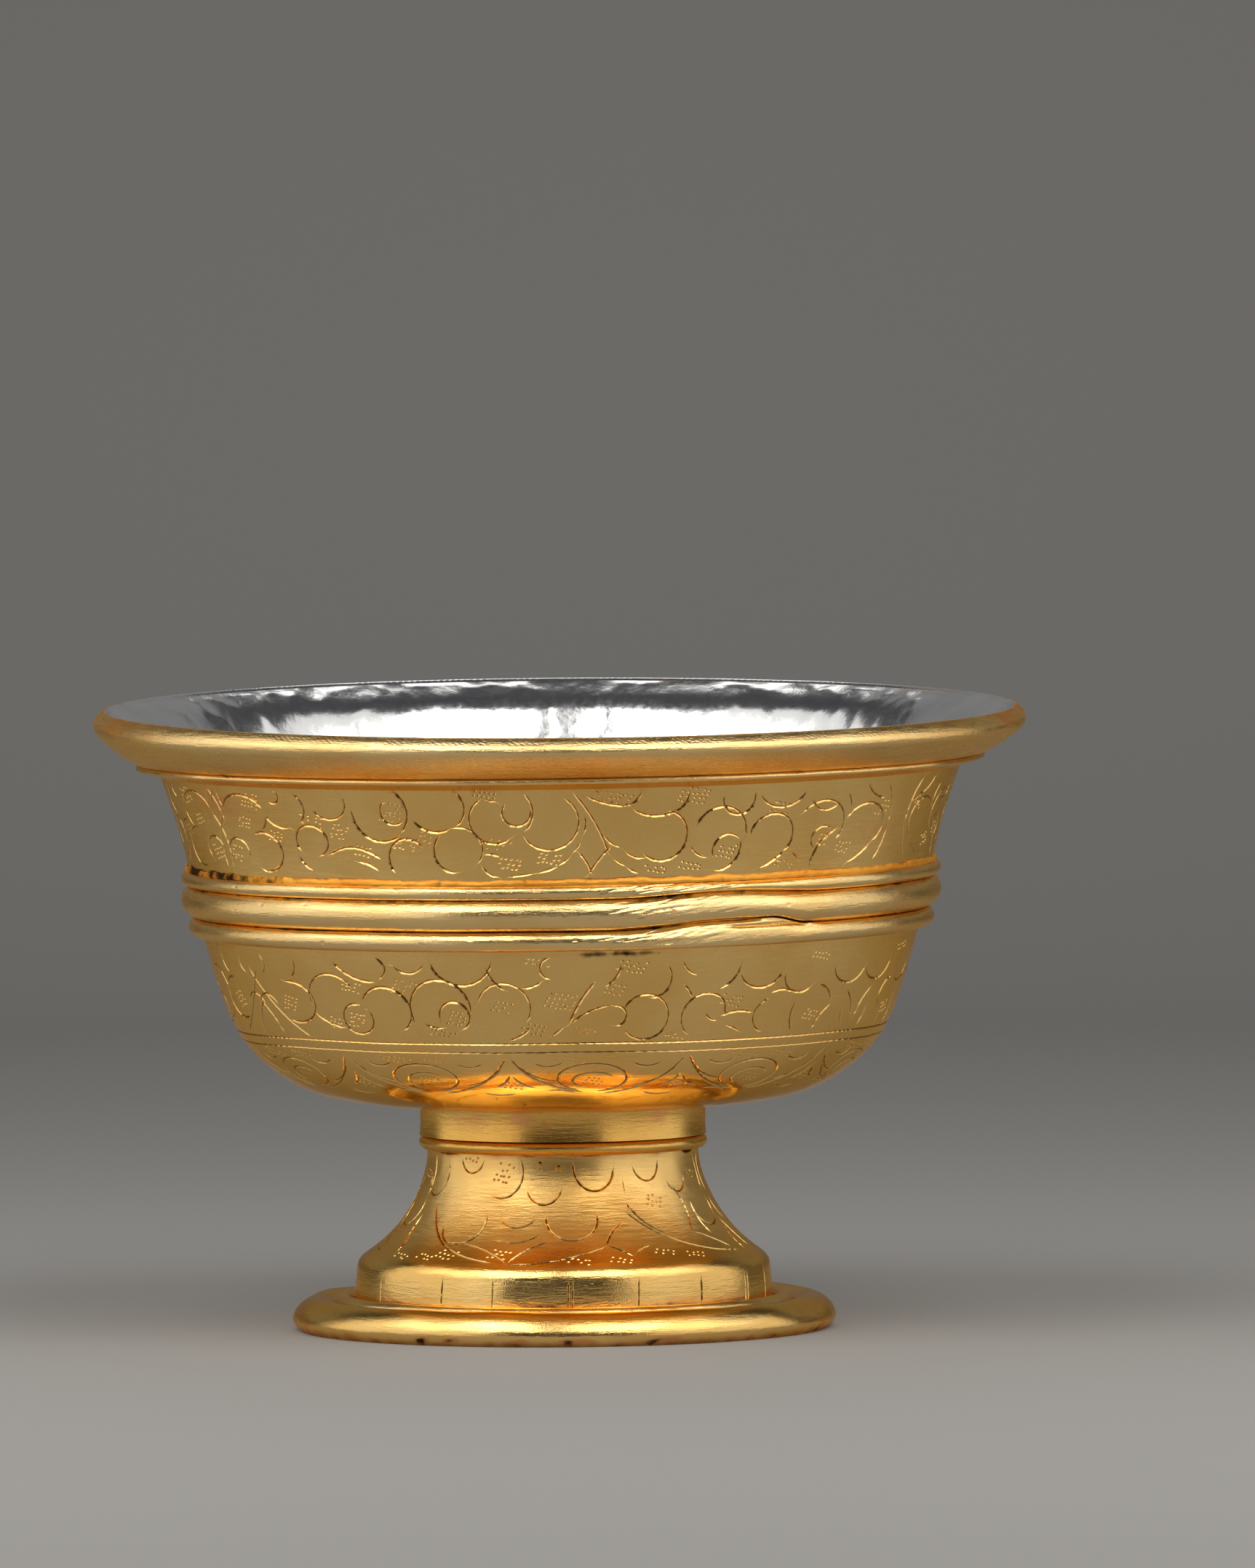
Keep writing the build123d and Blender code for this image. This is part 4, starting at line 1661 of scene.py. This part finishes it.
@dataclass
class ChasedPiece(Piece):
    """A raised sheet with a chased outside, whose section runs from its lower edge up."""

    line: SectionLine

    def values(self, theta: Array, height: Array) -> Values:
        """Wear, soot and shine at points of the outside, by name."""
        raise NotImplementedError

    def write(self, draft: MeshDraft, outside: WallMesh, sharp: float) -> Thing:
        """Writes a draft whose first vertices are the chased wall, with dirt and a painted shade where it
        is cut.

        Args:
            draft: the draft.
            outside: the wall in it.
            sharp: faces that meet at more than this angle keep a hard edge, in degrees.

        Returns:
            The mesh object.
        """
        dirt_and_shade_per_mm = 7.0
        piece = draft.write(self.name, sharp)
        keep_normals(piece, outside.normals)
        plain = np.zeros(draft.size - len(outside.depth))
        theta, run = outside.places.T
        values = self.values(theta, self.line.at(run)[1])
        # cut value: dirt and painted shade in the cuts, darker where deeper
        values["cut"] = np.clip(outside.depth * dirt_and_shade_per_mm, 0.0, 1.0)
        give_values(piece, {name: np.concatenate([value, plain]) for name, value in values.items()})
        return piece


@dataclass
class Cup(ChasedPiece):
    """The raised cup: its chased outside, and the plain copper sheet behind the silver."""

    waist: Point
    sheet: float = 0.5
    scribed: Point = (41.1, 39.85)
    petals: int = 11
    first_tip: float = -9.5
    rim_seam: float = 75.4
    repeats: tuple[tuple[float, int], ...] = ((0.0, 1), (120.0, -1), (-120.0, -1))
    stains: tuple[Stain, ...] = (
        Stain(-60.0, 0.28, 72.5, 2.6),
        Stain(52.0, 0.2, 68.0, 2.2, 0.8),
        Stain(-66.0, 0.2, 66.0, 2.0, 0.7),
    )

    def wall(self) -> ChasedWall:
        """Chases the outside.

        Returns:
            The wall with its ornament.
        """
        rng = np.random.default_rng(42)
        ripples = (Ripple(0.05, 26.0, 50.0, 1), Ripple(0.008, 5.0, 50.0, 2))
        wall = ChasedWall(self.line, self.hand, ripples)
        chisel = Chisel()
        upper = self.line.run_at(self.waist[1]) + 0.77
        lower = self.line.run_at(self.scribed[0])
        for centre, mirror in self.repeats:
            wall.chase(UPPER_WALL, UPPER_DOTS, Zone(upper, 52.2, centre, mirror), chisel, rng)
            wall.chase(LOWER_WALL, LOWER_DOTS, Zone(lower, 46.5, centre, mirror), chisel, rng)
        tips = self.first_tip + 360.0 / self.petals * np.arange(self.petals)
        for tip in (tips + 180.0) % 360.0 - 180.0:
            zone = Zone(self.line.run_at(self.scribed[1]) - 9.2, 37.5, float(tip))
            wall.chase(PETAL, PETAL_DOTS, zone, chisel, rng)
        for height in self.scribed:
            wall.scribe(height, Chisel(0.34, 0.16), rng)
        return wall

    def values(self, theta: Array, height: Array) -> Values:
        """Puts soot along the soldered edges, and brown stains on the upper wall.

        Args:
            theta, height: points of the outside.

        Returns:
            Wear, soot and shine at the points.
        """
        low, high = self.waist
        patchy = Ripple(0.28, 13.0, 51.0, 7).at(theta, height)
        seams = bump(height, high + 0.2, 0.55) + 0.7 * bump(height, low - 0.2, 0.5)
        seams += bump(height, self.rim_seam, 0.4)
        left = Stain(-72.0, 0.25, high, 1.3).at(theta, height)
        stain = sum(mark.at(theta, height) for mark in self.stains)
        streak = np.minimum(1.8 * bump(theta, math.radians(9.5), 0.12), 1.0)
        scale = streak * bump(height, low - 0.4, 0.32)
        wear = np.clip(0.6 * seams + stain * (0.5 + patchy), 0.0, 1.0)
        soot_and_shade = np.clip(seams * (0.2 + patchy) + 0.5 * left + 0.75 * scale, 0.0, 1.0)
        shine = 1.0 - ease((height - self.scribed[1] + 5.0) / 4.0)
        return {"wear": wear, "soot_and_shade": soot_and_shade, "shine": shine}

    def build(self) -> Thing:
        """Makes the closed sheet.

        Returns:
            The mesh object.
        """
        wall = self.wall()
        draft = MeshDraft()
        outside = wall.add_to(draft)
        theta = circle(wall.columns)
        radius, seat = self.line.points[0]
        level = np.full_like(theta, seat)
        bottom = (self.hand.place(theta, radius * share, level) for share in (0.3, 0.65))
        draft.bridge(draft.extend(draft.add_pole(seat), bottom), outside.first)
        inner = draft.extend(outside.last, wall.inside(self.sheet, 46))
        draft.bridge(inner, draft.add_pole(seat + self.sheet))
        return self.write(draft, outside, 60.0)


@dataclass
class SilverLining(Piece):
    """The silver inside, depth below the cup's outside, which the hammer left in soft facets."""

    line: SectionLine
    depth: float = 0.75
    sheet: float = 0.2
    facet: float = 3.9
    dent: float = 0.1
    columns: int = 700
    fine: float = 46.0

    def marks(self) -> Array:
        """Walks the hammer round the sheet, row by row.

        Returns:
            Angle and run of each hammer mark.
        """
        rng = np.random.default_rng(17)
        marks = []
        for row in np.arange(0.0, self.line.length, self.facet * 0.8):
            count = max(6, int(TURN * float(self.line.at(row)[0]) / self.facet))
            angle = -math.pi + TURN * (np.arange(count) + rng.uniform(-0.35, 0.35, count)) / count
            marks.append(np.stack([angle, row + rng.uniform(-0.4, 0.4, count) * self.facet], axis=1))
        return np.concatenate(marks)

    def hammer(self, theta: Array, run: Array) -> Array:
        """Finds how far the hammer drove the face back; ridges rise with the square of the way to a mark.

        Args:
            theta, run: places on the sheet.

        Returns:
            Depth behind the plain face, below 0 where a ridge stands proud of it.
        """
        radius = self.line.at(run)[0]
        nearest = np.full(theta.shape, 1e9)
        for angle, level in self.marks():
            near = np.abs(run - level) < self.facet * 1.5
            turn = (theta[near] - angle + math.pi) % TURN - math.pi
            away = (turn * radius[near]) ** 2 + (run[near] - level) ** 2
            nearest[near] = np.minimum(nearest[near], away)
        crease = Ripple(0.03, 7.0, 55.0, 18).at(theta, run * 0.3)
        crease += Ripple(0.05, 16.0, 55.0, 19).at(theta, run)
        facets = np.clip(nearest / (self.facet * 0.6) ** 2, 0.0, 1.6) * ease((radius - 22.0) / 16.0)
        return np.minimum(crease * ease((radius - 42.0) / 8.0) - self.dent * facets, 0.02)

    def build(self) -> Thing:
        """Makes the closed sheet, outer face first.

        Returns:
            The mesh object.
        """
        theta = circle(self.columns)
        length = self.line.length
        radius, base = self.line.points[0]
        draft = MeshDraft()
        back = self.depth - self.sheet
        run, turn = np.meshgrid(np.linspace(0.0, length, 24), theta, indexing="ij")
        outer = self.hand.place(turn, *self.line.at(run, back))
        edge = draft.extend(draft.add_pole(base + back), outer)
        rows = np.concatenate([np.linspace(length, self.fine, 74), np.linspace(self.fine - 0.6, 0.0, 38)])
        run, turn = np.meshgrid(rows, theta, indexing="ij")
        calm = ease((length - run) / 0.8)
        inner = self.hand.place(turn, *self.line.at(run, self.depth - calm * self.hammer(turn, run)))
        level = np.full_like(theta, base + self.depth)
        bottom = (self.hand.place(theta, radius * share, level) for share in (0.75, 0.5, 0.25))
        last = draft.extend(draft.extend(edge, inner), bottom)
        draft.bridge(last, draft.add_pole(base + self.depth))
        return draft.write(self.name, 50.0)


@dataclass
class Foot(ChasedPiece):
    """The hollow foot: a chased outside, bare copper inside and the tube that carries the cup."""

    tube_top: float
    band_top: float
    sheet: float = 0.7
    neck_seam: float = 24.3
    base_seam: float = 4.6
    repeats: tuple[tuple[float, int], ...] = ((0.0, 1), (150.0, -1), (-140.0, 1))

    def wall(self) -> ChasedWall:
        """Chases the outside.

        Returns:
            The wall with its ornament.
        """
        rng = np.random.default_rng(43)
        ripples = (Ripple(0.03, 18.0, 24.0, 3), Ripple(0.006, 4.0, 24.0, 4))
        wall = ChasedWall(self.line, self.hand, ripples, columns=240, gap=0.9)
        chisel = Chisel(0.38, 0.18)
        band_top = self.line.run_at(self.band_top)
        for centre, mirror in self.repeats:
            zone = Zone(band_top + 1.65, 20.5, centre, mirror, 1.16)
            wall.chase(FOOT_WALL, FOOT_DOTS, zone, chisel, rng)
        zone = Zone(band_top - 4.6, float(self.line.points[0, 0]))
        ticks = tuple(Stroke(place, 0.0, place + 0.3, 4.4) for place in BAND_TICKS)
        wall.chase(ticks, (), zone, Chisel(0.34, 0.15), rng)
        return wall

    def values(self, theta: Array, height: Array) -> Values:
        """Puts soot at the neck and along the base.

        Args:
            theta, height: points of the outside.

        Returns:
            Wear, soot and shine at the points.
        """
        patchy = Ripple(0.25, 9.0, 24.0, 9).at(theta, height)
        seams = bump(height, self.neck_seam, 0.5) + bump(height, self.base_seam, 0.9)
        wear = np.clip(seams * (0.5 + patchy), 0.0, 1.0)
        soot_and_shade = np.clip(seams * (0.35 + patchy), 0.0, 1.0)
        shine = 0.75 * (1.0 - ease((height - self.band_top - 1.0) / 4.0))
        return {"wear": wear, "soot_and_shade": soot_and_shade, "shine": shine}

    def build(self) -> Thing:
        """Makes the closed sheet.

        Returns:
            The mesh object.
        """
        wall = self.wall()
        draft = MeshDraft()
        outside = wall.add_to(draft)
        chased = len(draft.faces[0])
        theta = circle(wall.columns)
        neck = float(self.line.points[-1, 0])
        top = np.full_like(theta, self.tube_top)
        tube = (self.hand.place(theta, radius, top) for radius in (neck, neck - self.sheet))
        upper = draft.extend(outside.last, tube)
        draft.bridge(draft.extend(upper, wall.inside(self.sheet, 60)), outside.first)
        piece = self.write(draft, outside, 45.0)
        bare = np.arange(len(piece.data.polygons)) >= chased
        piece.data.polygons.foreach_set("material_index", bare.astype(np.int32))
        return piece


# The whole bowl


@dataclass(frozen=True)
class Sizes:
    """Sizes of the sections that the boxes of the CAD nodes don't give.

    Attributes:
        underside, belly: radius, and height above the cup's seat.
        waist: radii of the cup at the waist's lower and upper edge.
        lip_rise: height of the cup's edge above the rim bead's lower edge.
        ring_root: width of a waist ring's upper and lower side.
        shoulder: how far the foot's shoulder lies in from the foot's radius and above the band.
        flange_swell: height of the flange's crest above the solid's.
    """

    underside: Point = (33.5, 1.85)
    belly: Point = (42.8, 8.75)
    waist: Point = (48.35, 50.25)
    wall_top: float = 54.0
    lip_rise: float = 7.35
    lip_nose: float = 3.4
    bead_nose: float = 0.425
    ring_root: float = 0.45
    seat_gap: float = 0.03
    neck: float = 18.3
    neck_bore: float = 18.35
    band_height: float = 8.1
    shoulder: Point = (2.2, 2.25)
    foot_sheet: float = 0.7
    flange_swell: float = 0.5


UPWARD = np.array([0.0, 1.0])
INWARD = np.array([-1.0, 0.0])


class Bowl:
    """Finds the sections of the bowl from the frame and dresses every node."""

    def __init__(self) -> None:
        """Measures the frame, draws the sections and makes the materials."""
        self.hand = HandWork()
        self.sizes = Sizes()
        self.cup = Span.of("cup")
        self.rim = Span.of("rim_moulding")
        self.rim_bead = Span.of("rim_bead")
        self.waist = (Span.of("waist_lower_bead").low, Span.of("waist_upper_bead").high)
        self.collar = Span.of("neck_collar")
        self.neck_bead = Span.of("neck_bead")
        self.foot = Span.of("foot")
        self.flange = Span.of("base_flange")
        self.base_bead = Span.of("base_bead")
        self.cup_line = SectionLine(self.cup_points())
        self.materials = {finish: finish.value.material() for finish in Finish}

    def paint(self, *finishes: Finish) -> tuple[Material, ...]:
        """Materials of finishes."""
        return tuple(self.materials[finish] for finish in finishes)

    @property
    def band_top(self) -> float:
        """Height of the upper edge of the foot's band."""
        return self.foot.low + self.sizes.band_height

    def cup_points(self) -> Array:
        """Draws the cup's outside.

        Returns:
            Section from the cup's seat to the edge of the lip.
        """
        sizes = self.sizes
        seat = (self.collar.radius, self.cup.low)
        underside = (sizes.underside[0], self.cup.low + sizes.underside[1])
        belly = (sizes.belly[0], self.cup.low + sizes.belly[1])
        waist_bottom, waist_top = zip(sizes.waist, self.waist)
        wall_top = (sizes.wall_top, self.rim_bead.low)
        lip = (self.cup.radius, wall_top[1] + sizes.lip_rise)
        lip_middle = bowed_middle(wall_top, lip, 1.5)
        stations = [
            seat,
            bowed_middle(seat, underside, -0.5),
            underside,
            bowed_middle(underside, belly, -0.85),
            belly,
            bowed_middle(belly, waist_bottom, -0.5),
            waist_bottom,
            waist_top,
            bowed_middle(waist_top, wall_top, 0.25),
            wall_top,
            lip_middle,
            lip,
        ]
        return spline(stations, -INWARD, np.subtract(lip, lip_middle), 900)

    def foot_points(self) -> Array:
        """Draws the foot's outside.

        Returns:
            Section from the foot's lower edge up to the neck.
        """
        wide = self.foot.radius
        neck = (self.sizes.neck, self.neck_bead.low)
        band_foot = (wide - 0.2, self.foot.low)
        band_top = (wide - 0.3, self.band_top)
        shoulder = (wide - self.sizes.shoulder[0], band_top[1] + self.sizes.shoulder[1])
        flare = bowed_middle(shoulder, neck, 1.72)
        upper = spline([band_top, shoulder, flare, neck], UPWARD, UPWARD, 300)
        return np.concatenate([arc(band_foot, band_top, -0.28, 60)[:-1], upper])

    def against_cup(self, low: float, high: float, count: int) -> Array:
        """Back of a ring that lies on the cup, from its upper edge down."""
        height = np.linspace(high, low, count)
        return np.stack([self.cup_line.radius_at(height) + self.sizes.seat_gap, height], axis=1)

    def waist_ring(self, node: str, projection: float, seed: int) -> WaistRing:
        """Draws one of the three rings round the waist.

        Args:
            node: its CAD node.
            projection: how far its crest stands out from the cup.
            seed: seed of its unevenness.

        Returns:
            The ring.
        """
        span = Span.of(node)
        root = self.sizes.ring_root
        low = (float(self.cup_line.radius_at(span.low)) + root, span.low)
        high = (float(self.cup_line.radius_at(span.high)) + root, span.high)
        face = arc(low, high, root - projection, 46)
        section = np.concatenate([face, self.against_cup(span.low, span.high, 4)])
        ripple = Ripple(0.05, 22.0, 51.0, seed)
        ring = WaistRing(node, Slot.GILT, self.paint(Finish.RING), self.hand, section, ripple, 1400)
        ring.low, ring.high = self.waist
        ring.crest = float(face[:, 0].max())
        return ring

    def waist_solder(self) -> SolderLine:
        """Draws the line of solder on the upper bead.

        Returns:
            The line of solder.
        """
        node = "waist_solder"
        span = Span.of(node)
        back = self.against_cup(span.low, span.high, 4)
        face = arc((span.radius - 0.02, span.low), back[0], -0.12, 10)
        section = np.concatenate([face, back[1:]])
        ripple = Ripple(0.02, 2.3, 51.0, 44)
        return SolderLine(node, Slot.GILT, self.paint(Finish.BURNT), self.hand, section, ripple, 1400)

    def rim_ring(self) -> RimMoulding:
        """Draws the heavy lip round the mouth, whose inner edge is silvered.

        Returns:
            The lip.
        """
        wide, low, high = self.rim
        foot = (self.rim_bead.radius + 0.1, low)
        nose = (wide - 0.8, high - self.sizes.lip_nose)
        tip = (wide, high - self.sizes.lip_nose * 0.6)
        crest = np.array([wide - 1.6, high])
        hollow = -0.25
        under = arc(foot, nose, hollow, 9)
        edge = spline([nose, tip], np.subtract(nose, bowed_middle(foot, nose, hollow)), UPWARD, 7)
        top = spline([tip, crest], UPWARD, np.array([-1.0, 0.5]), 22)[:-3]
        lining = np.array(self.cup_line.at(np.array([self.cup_line.length]), 0.74)).T[0]
        crown = bend(top[-1], crest, crest + 0.5 * (lining - crest), 8)
        back = self.against_cup(low, float(self.cup_line.points[-1, 1]), 3)
        gold = np.concatenate([under, edge[1:], top[1:], crown[1:4]])
        silver = np.concatenate([crown[4:], [lining]])
        lined = (len(gold) - 1, len(gold) + len(silver) - 1)
        materials = self.paint(Finish.LIP, Finish.SILVER)
        section = np.concatenate([gold, silver, back])
        ripple = Ripple(0.05, 20.0, 62.0, 31)
        return RimMoulding(
            "rim_moulding", Slot.GILT, materials, self.hand, section, ripple, 2200, lined, high, wide
        )

    def small_ring(self, node: str, section: Array, size: float, seed: int, finish: Finish) -> TurnedRing:
        """Makes a plain ring of the neck, the base or the rim.

        Args:
            node: its CAD node.
            section: its section.
            size: size of its unevenness.
            seed: seed of its unevenness.
            finish: its finish.

        Returns:
            The ring.
        """
        slot = Slot.SOLDER if finish is Finish.SOLDER else Slot.GILT
        ripple = Ripple(size, 9.0, float(section[:, 0].max()), seed)
        return TurnedRing(node, slot, self.paint(finish), self.hand, section, ripple)

    def rim_bead_ring(self) -> TurnedRing:
        """Draws the thin bead under the lip.

        Returns:
            The bead.
        """
        low, high, nose = self.rim_bead.low, self.rim_bead.high, self.sizes.bead_nose
        wide = self.rim_bead.radius - nose
        slope = np.linspace((self.sizes.wall_top + 0.04, low), (wide, high - 2 * nose), 8)
        face = arc((wide, high - 2 * nose), (wide, high), -nose, 16)
        section = np.concatenate([slope[:-1], face, self.against_cup(low, high, 6)])
        return self.small_ring("rim_bead", section, 0.05, 32, Finish.RING)

    def neck_rings(self) -> list[TurnedRing]:
        """Draws the collar and the bead under it.

        Returns:
            The two rings.
        """
        bore = self.sizes.neck_bore
        wide, low, high = self.collar
        collar = np.concatenate([arc((wide, low), (wide, high), 0.15, 30), [[bore, high], [bore, low]]])
        ripple = Ripple(0.03, 9.0, wide, 33)
        materials = self.paint(Finish.COLLAR)
        worn = NeckCollar("neck_collar", Slot.GILT, materials, self.hand, collar, ripple)
        wide, low, high = self.neck_bead
        half = (high - low) / 2
        face = arc((wide - half, low), (wide - half, high), -half, 24)
        bead = np.concatenate([face, [[bore, high], [bore, low]]])
        return [worn, self.small_ring("neck_bead", bead, 0.03, 34, Finish.COLLAR)]

    def base_rings(self) -> list[TurnedRing]:
        """Draws the flange and the bead on it.

        Returns:
            The two rings.
        """
        high, wide = self.flange.high, self.flange.radius
        bore = self.foot.radius + 0.05
        ledge = (self.base_bead.radius, high - 0.2)
        widest = (wide, 1.45)
        crest = (wide - 3.1, high + self.sizes.flange_swell)
        edge = spline([(wide - 1.1, 0.0), widest], UPWARD - INWARD, UPWARD, 16)
        dome = spline([widest, crest], UPWARD, INWARD, 30)
        slope = spline([crest, ledge], INWARD, np.subtract(ledge, crest), 12)
        section = np.concatenate([edge, dome[1:], slope[1:], [[bore, ledge[1]], [bore, 0.0]]])
        ripple = Ripple(0.06, 14.0, 35.0, 35)
        materials = self.paint(Finish.FOOT)
        flange = BaseFlange("base_flange", Slot.GILT, materials, self.hand, section, ripple, 640)
        wide, low, high = self.base_bead
        bead = arc((wide, low), (wide - 2.4, low), low - high, 26)
        return [flange, self.small_ring("base_bead", bead, 0.03, 36, Finish.RING)]

    def solder_rings(self) -> list[TurnedRing]:
        """Draws the two fillets of solder, under the cup and under the foot.

        Returns:
            The two fillets.
        """
        wide, low, high = Span.of("neck_solder")
        size = high - low
        face = arc((wide - size, high), (wide, low), -size / 5, 10)
        neck = np.concatenate([face, [[wide, high]]])[::-1]
        wide, low, high = Span.of("base_solder")
        inner = self.foot.radius - self.sizes.foot_sheet
        face = arc((inner, (low + high) / 2), (wide, low), (high - low) / 5, 10)
        base = np.concatenate([face, [[wide, high], [inner, high]]])
        return [
            self.small_ring("neck_solder", neck, 0.02, 37, Finish.SOLDER),
            self.small_ring("base_solder", base, 0.02, 38, Finish.SOLDER),
        ]

    def pieces(self) -> list[Piece]:
        """Draws every piece of the bowl.

        Returns:
            The pieces.
        """
        silver = self.paint(Finish.SILVER)
        foot = Foot(
            "foot", Slot.GILT, self.paint(Finish.FOOT, Finish.COPPER), self.hand,
            SectionLine(self.foot_points()), self.foot.high, self.band_top, self.sizes.foot_sheet,
        )
        return [
            Cup("cup", Slot.GILT, self.paint(Finish.WALL), self.hand, self.cup_line, self.waist),
            SilverLining("silver_lining", Slot.SILVER, silver, self.hand, self.cup_line),
            self.rim_ring(),
            self.rim_bead_ring(),
            self.waist_ring("waist_upper_bead", 1.3, 41),
            self.waist_ring("waist_belt", 1.9, 42),
            self.waist_ring("waist_lower_bead", 1.7, 43),
            self.waist_solder(),
            *self.neck_rings(),
            foot,
            *self.base_rings(),
            *self.solder_rings(),
        ]

    def dress(self) -> None:
        """Builds every piece over its node."""
        for piece in self.pieces():
            piece.dress()


# Studio


@dataclass(frozen=True)
class SoftBox:
    """A soft light: where it stands and what it faces, in mm, its size and its brightness."""

    name: str
    place: Place
    aim: Place
    width: float
    height: float
    glow: float
    tint: Place = (1.0, 0.97, 0.93)

    def build(self) -> None:
        """Adds the light; its power gives its face the wanted glow."""
        light = bpy.data.lights.new(self.name, "AREA")
        light.shape = "RECTANGLE"
        light.size, light.size_y = self.width * MM, self.height * MM
        light.energy = math.pi * self.glow * light.size * light.size_y
        light.color = self.tint
        lamp = bpy.data.objects.new(self.name, light)
        lamp.visible_camera = False
        bpy.context.scene.collection.objects.link(lamp)
        lamp.location = Vector(self.place) * MM
        lamp.rotation_euler = (Vector(self.aim) - Vector(self.place)).to_track_quat("-Z", "Y").to_euler()


@dataclass(frozen=True)
class Studio:
    """Pale floor with a sweep behind it, soft boxes and the camera; lengths in mm, angles in degrees."""

    floor_tone: Colour = (0.31, 0.307, 0.3, 1.0)
    air_tone: Colour = (0.05, 0.05, 0.052, 1.0)
    floor_half: float = 2600.0
    sweep_start: float = 700.0
    sweep_radius: float = 350.0
    sweep_turn: float = 66.0
    camera_place: Place = (9.0, -2250.0, 172.0)
    camera_aim: Place = (9.1, 0.0, 73.4)
    camera_roll: float = -0.45
    lens: float = 383.0
    boxes: tuple[SoftBox, ...] = (
        SoftBox("overhead_left", (-465.0, -707.0, 893.0), (-435.0, 0.0, 50.0), 690.0, 930.0, 2.9),
        SoftBox("overhead_right", (405.0, -707.0, 893.0), (435.0, 0.0, 50.0), 690.0, 930.0, 2.9),
        SoftBox("left_wall", (-319.0, -85.0, 330.0), (0.0, 0.0, 330.0), 574.0, 660.0, 0.8),
        SoftBox("right_wall", (314.0, -102.0, 330.0), (0.0, 0.0, 330.0), 554.0, 660.0, 0.74),
        SoftBox("left_glint", (-300.0, -130.0, 265.0), (0.0, -130.0, 265.0), 260.0, 240.0, 0.9),
        SoftBox("right_glint", (296.0, -140.0, 265.0), (0.0, -140.0, 265.0), 260.0, 240.0, 0.9),
        SoftBox("behind", (0.0, 1050.0, 1150.0), (0.0, 0.0, 60.0), 560.0, 420.0, 1.5),
        SoftBox("back_wall", (0.0, 1060.0, 560.0), (0.0, 0.0, 560.0), 2600.0, 700.0, 0.14),
    )

    def build_floor(self) -> None:
        """Makes the flat floor and the sweep behind it, which curves up as a part of a circle."""
        turn = np.linspace(0.0, math.radians(self.sweep_turn), 24)
        depth = np.concatenate([[-self.floor_half], self.sweep_start + self.sweep_radius * np.sin(turn)])
        height = np.concatenate([[0.0], self.sweep_radius - self.sweep_radius * np.cos(turn)])
        count = len(turn) + 1
        sides = np.repeat([-self.floor_half, self.floor_half], count)
        index = np.arange(count - 1)
        draft = MeshDraft()
        draft.add(np.stack([sides, np.tile(depth, 2), np.tile(height, 2)], axis=1))
        draft.faces.append(np.stack([index, index + count, index + count + 1, index + 1], axis=1))
        floor = draft.write("studio_floor")
        floor.data.materials.append(Shader("pale_floor").paint(self.floor_tone, 0.9, 0.0))

    def build_camera(self) -> None:
        """Puts the camera where the photograph was taken from."""
        data = bpy.data.cameras.new("camera")
        data.lens = self.lens
        data.clip_start, data.clip_end = 0.1, 20.0
        camera = bpy.data.objects.new("camera", data)
        bpy.context.scene.collection.objects.link(camera)
        place, aim = Vector(self.camera_place), Vector(self.camera_aim)
        turn = (aim - place).to_track_quat("-Z", "Y").to_matrix().to_4x4()
        roll = Matrix.Rotation(math.radians(self.camera_roll), 4, "Z")
        camera.matrix_world = Matrix.Translation(place * MM) @ turn @ roll
        bpy.context.scene.camera = camera

    def build(self) -> None:
        """Sets up the studio."""
        scene = bpy.context.scene
        scene.view_settings.view_transform = "Standard"
        world = bpy.data.worlds.new("studio_air")
        world.use_nodes = True
        world.node_tree.nodes["Background"].inputs["Color"].default_value = self.air_tone
        scene.world = world
        self.build_floor()
        for box in self.boxes:
            box.build()
        self.build_camera()


def main() -> None:
    """Dresses the bowl and sets up the studio."""
    logging.basicConfig(level=logging.INFO, format="%(name)s: %(message)s")
    Bowl().dress()
    Studio().build()


if __name__ == "__main__":
    main()
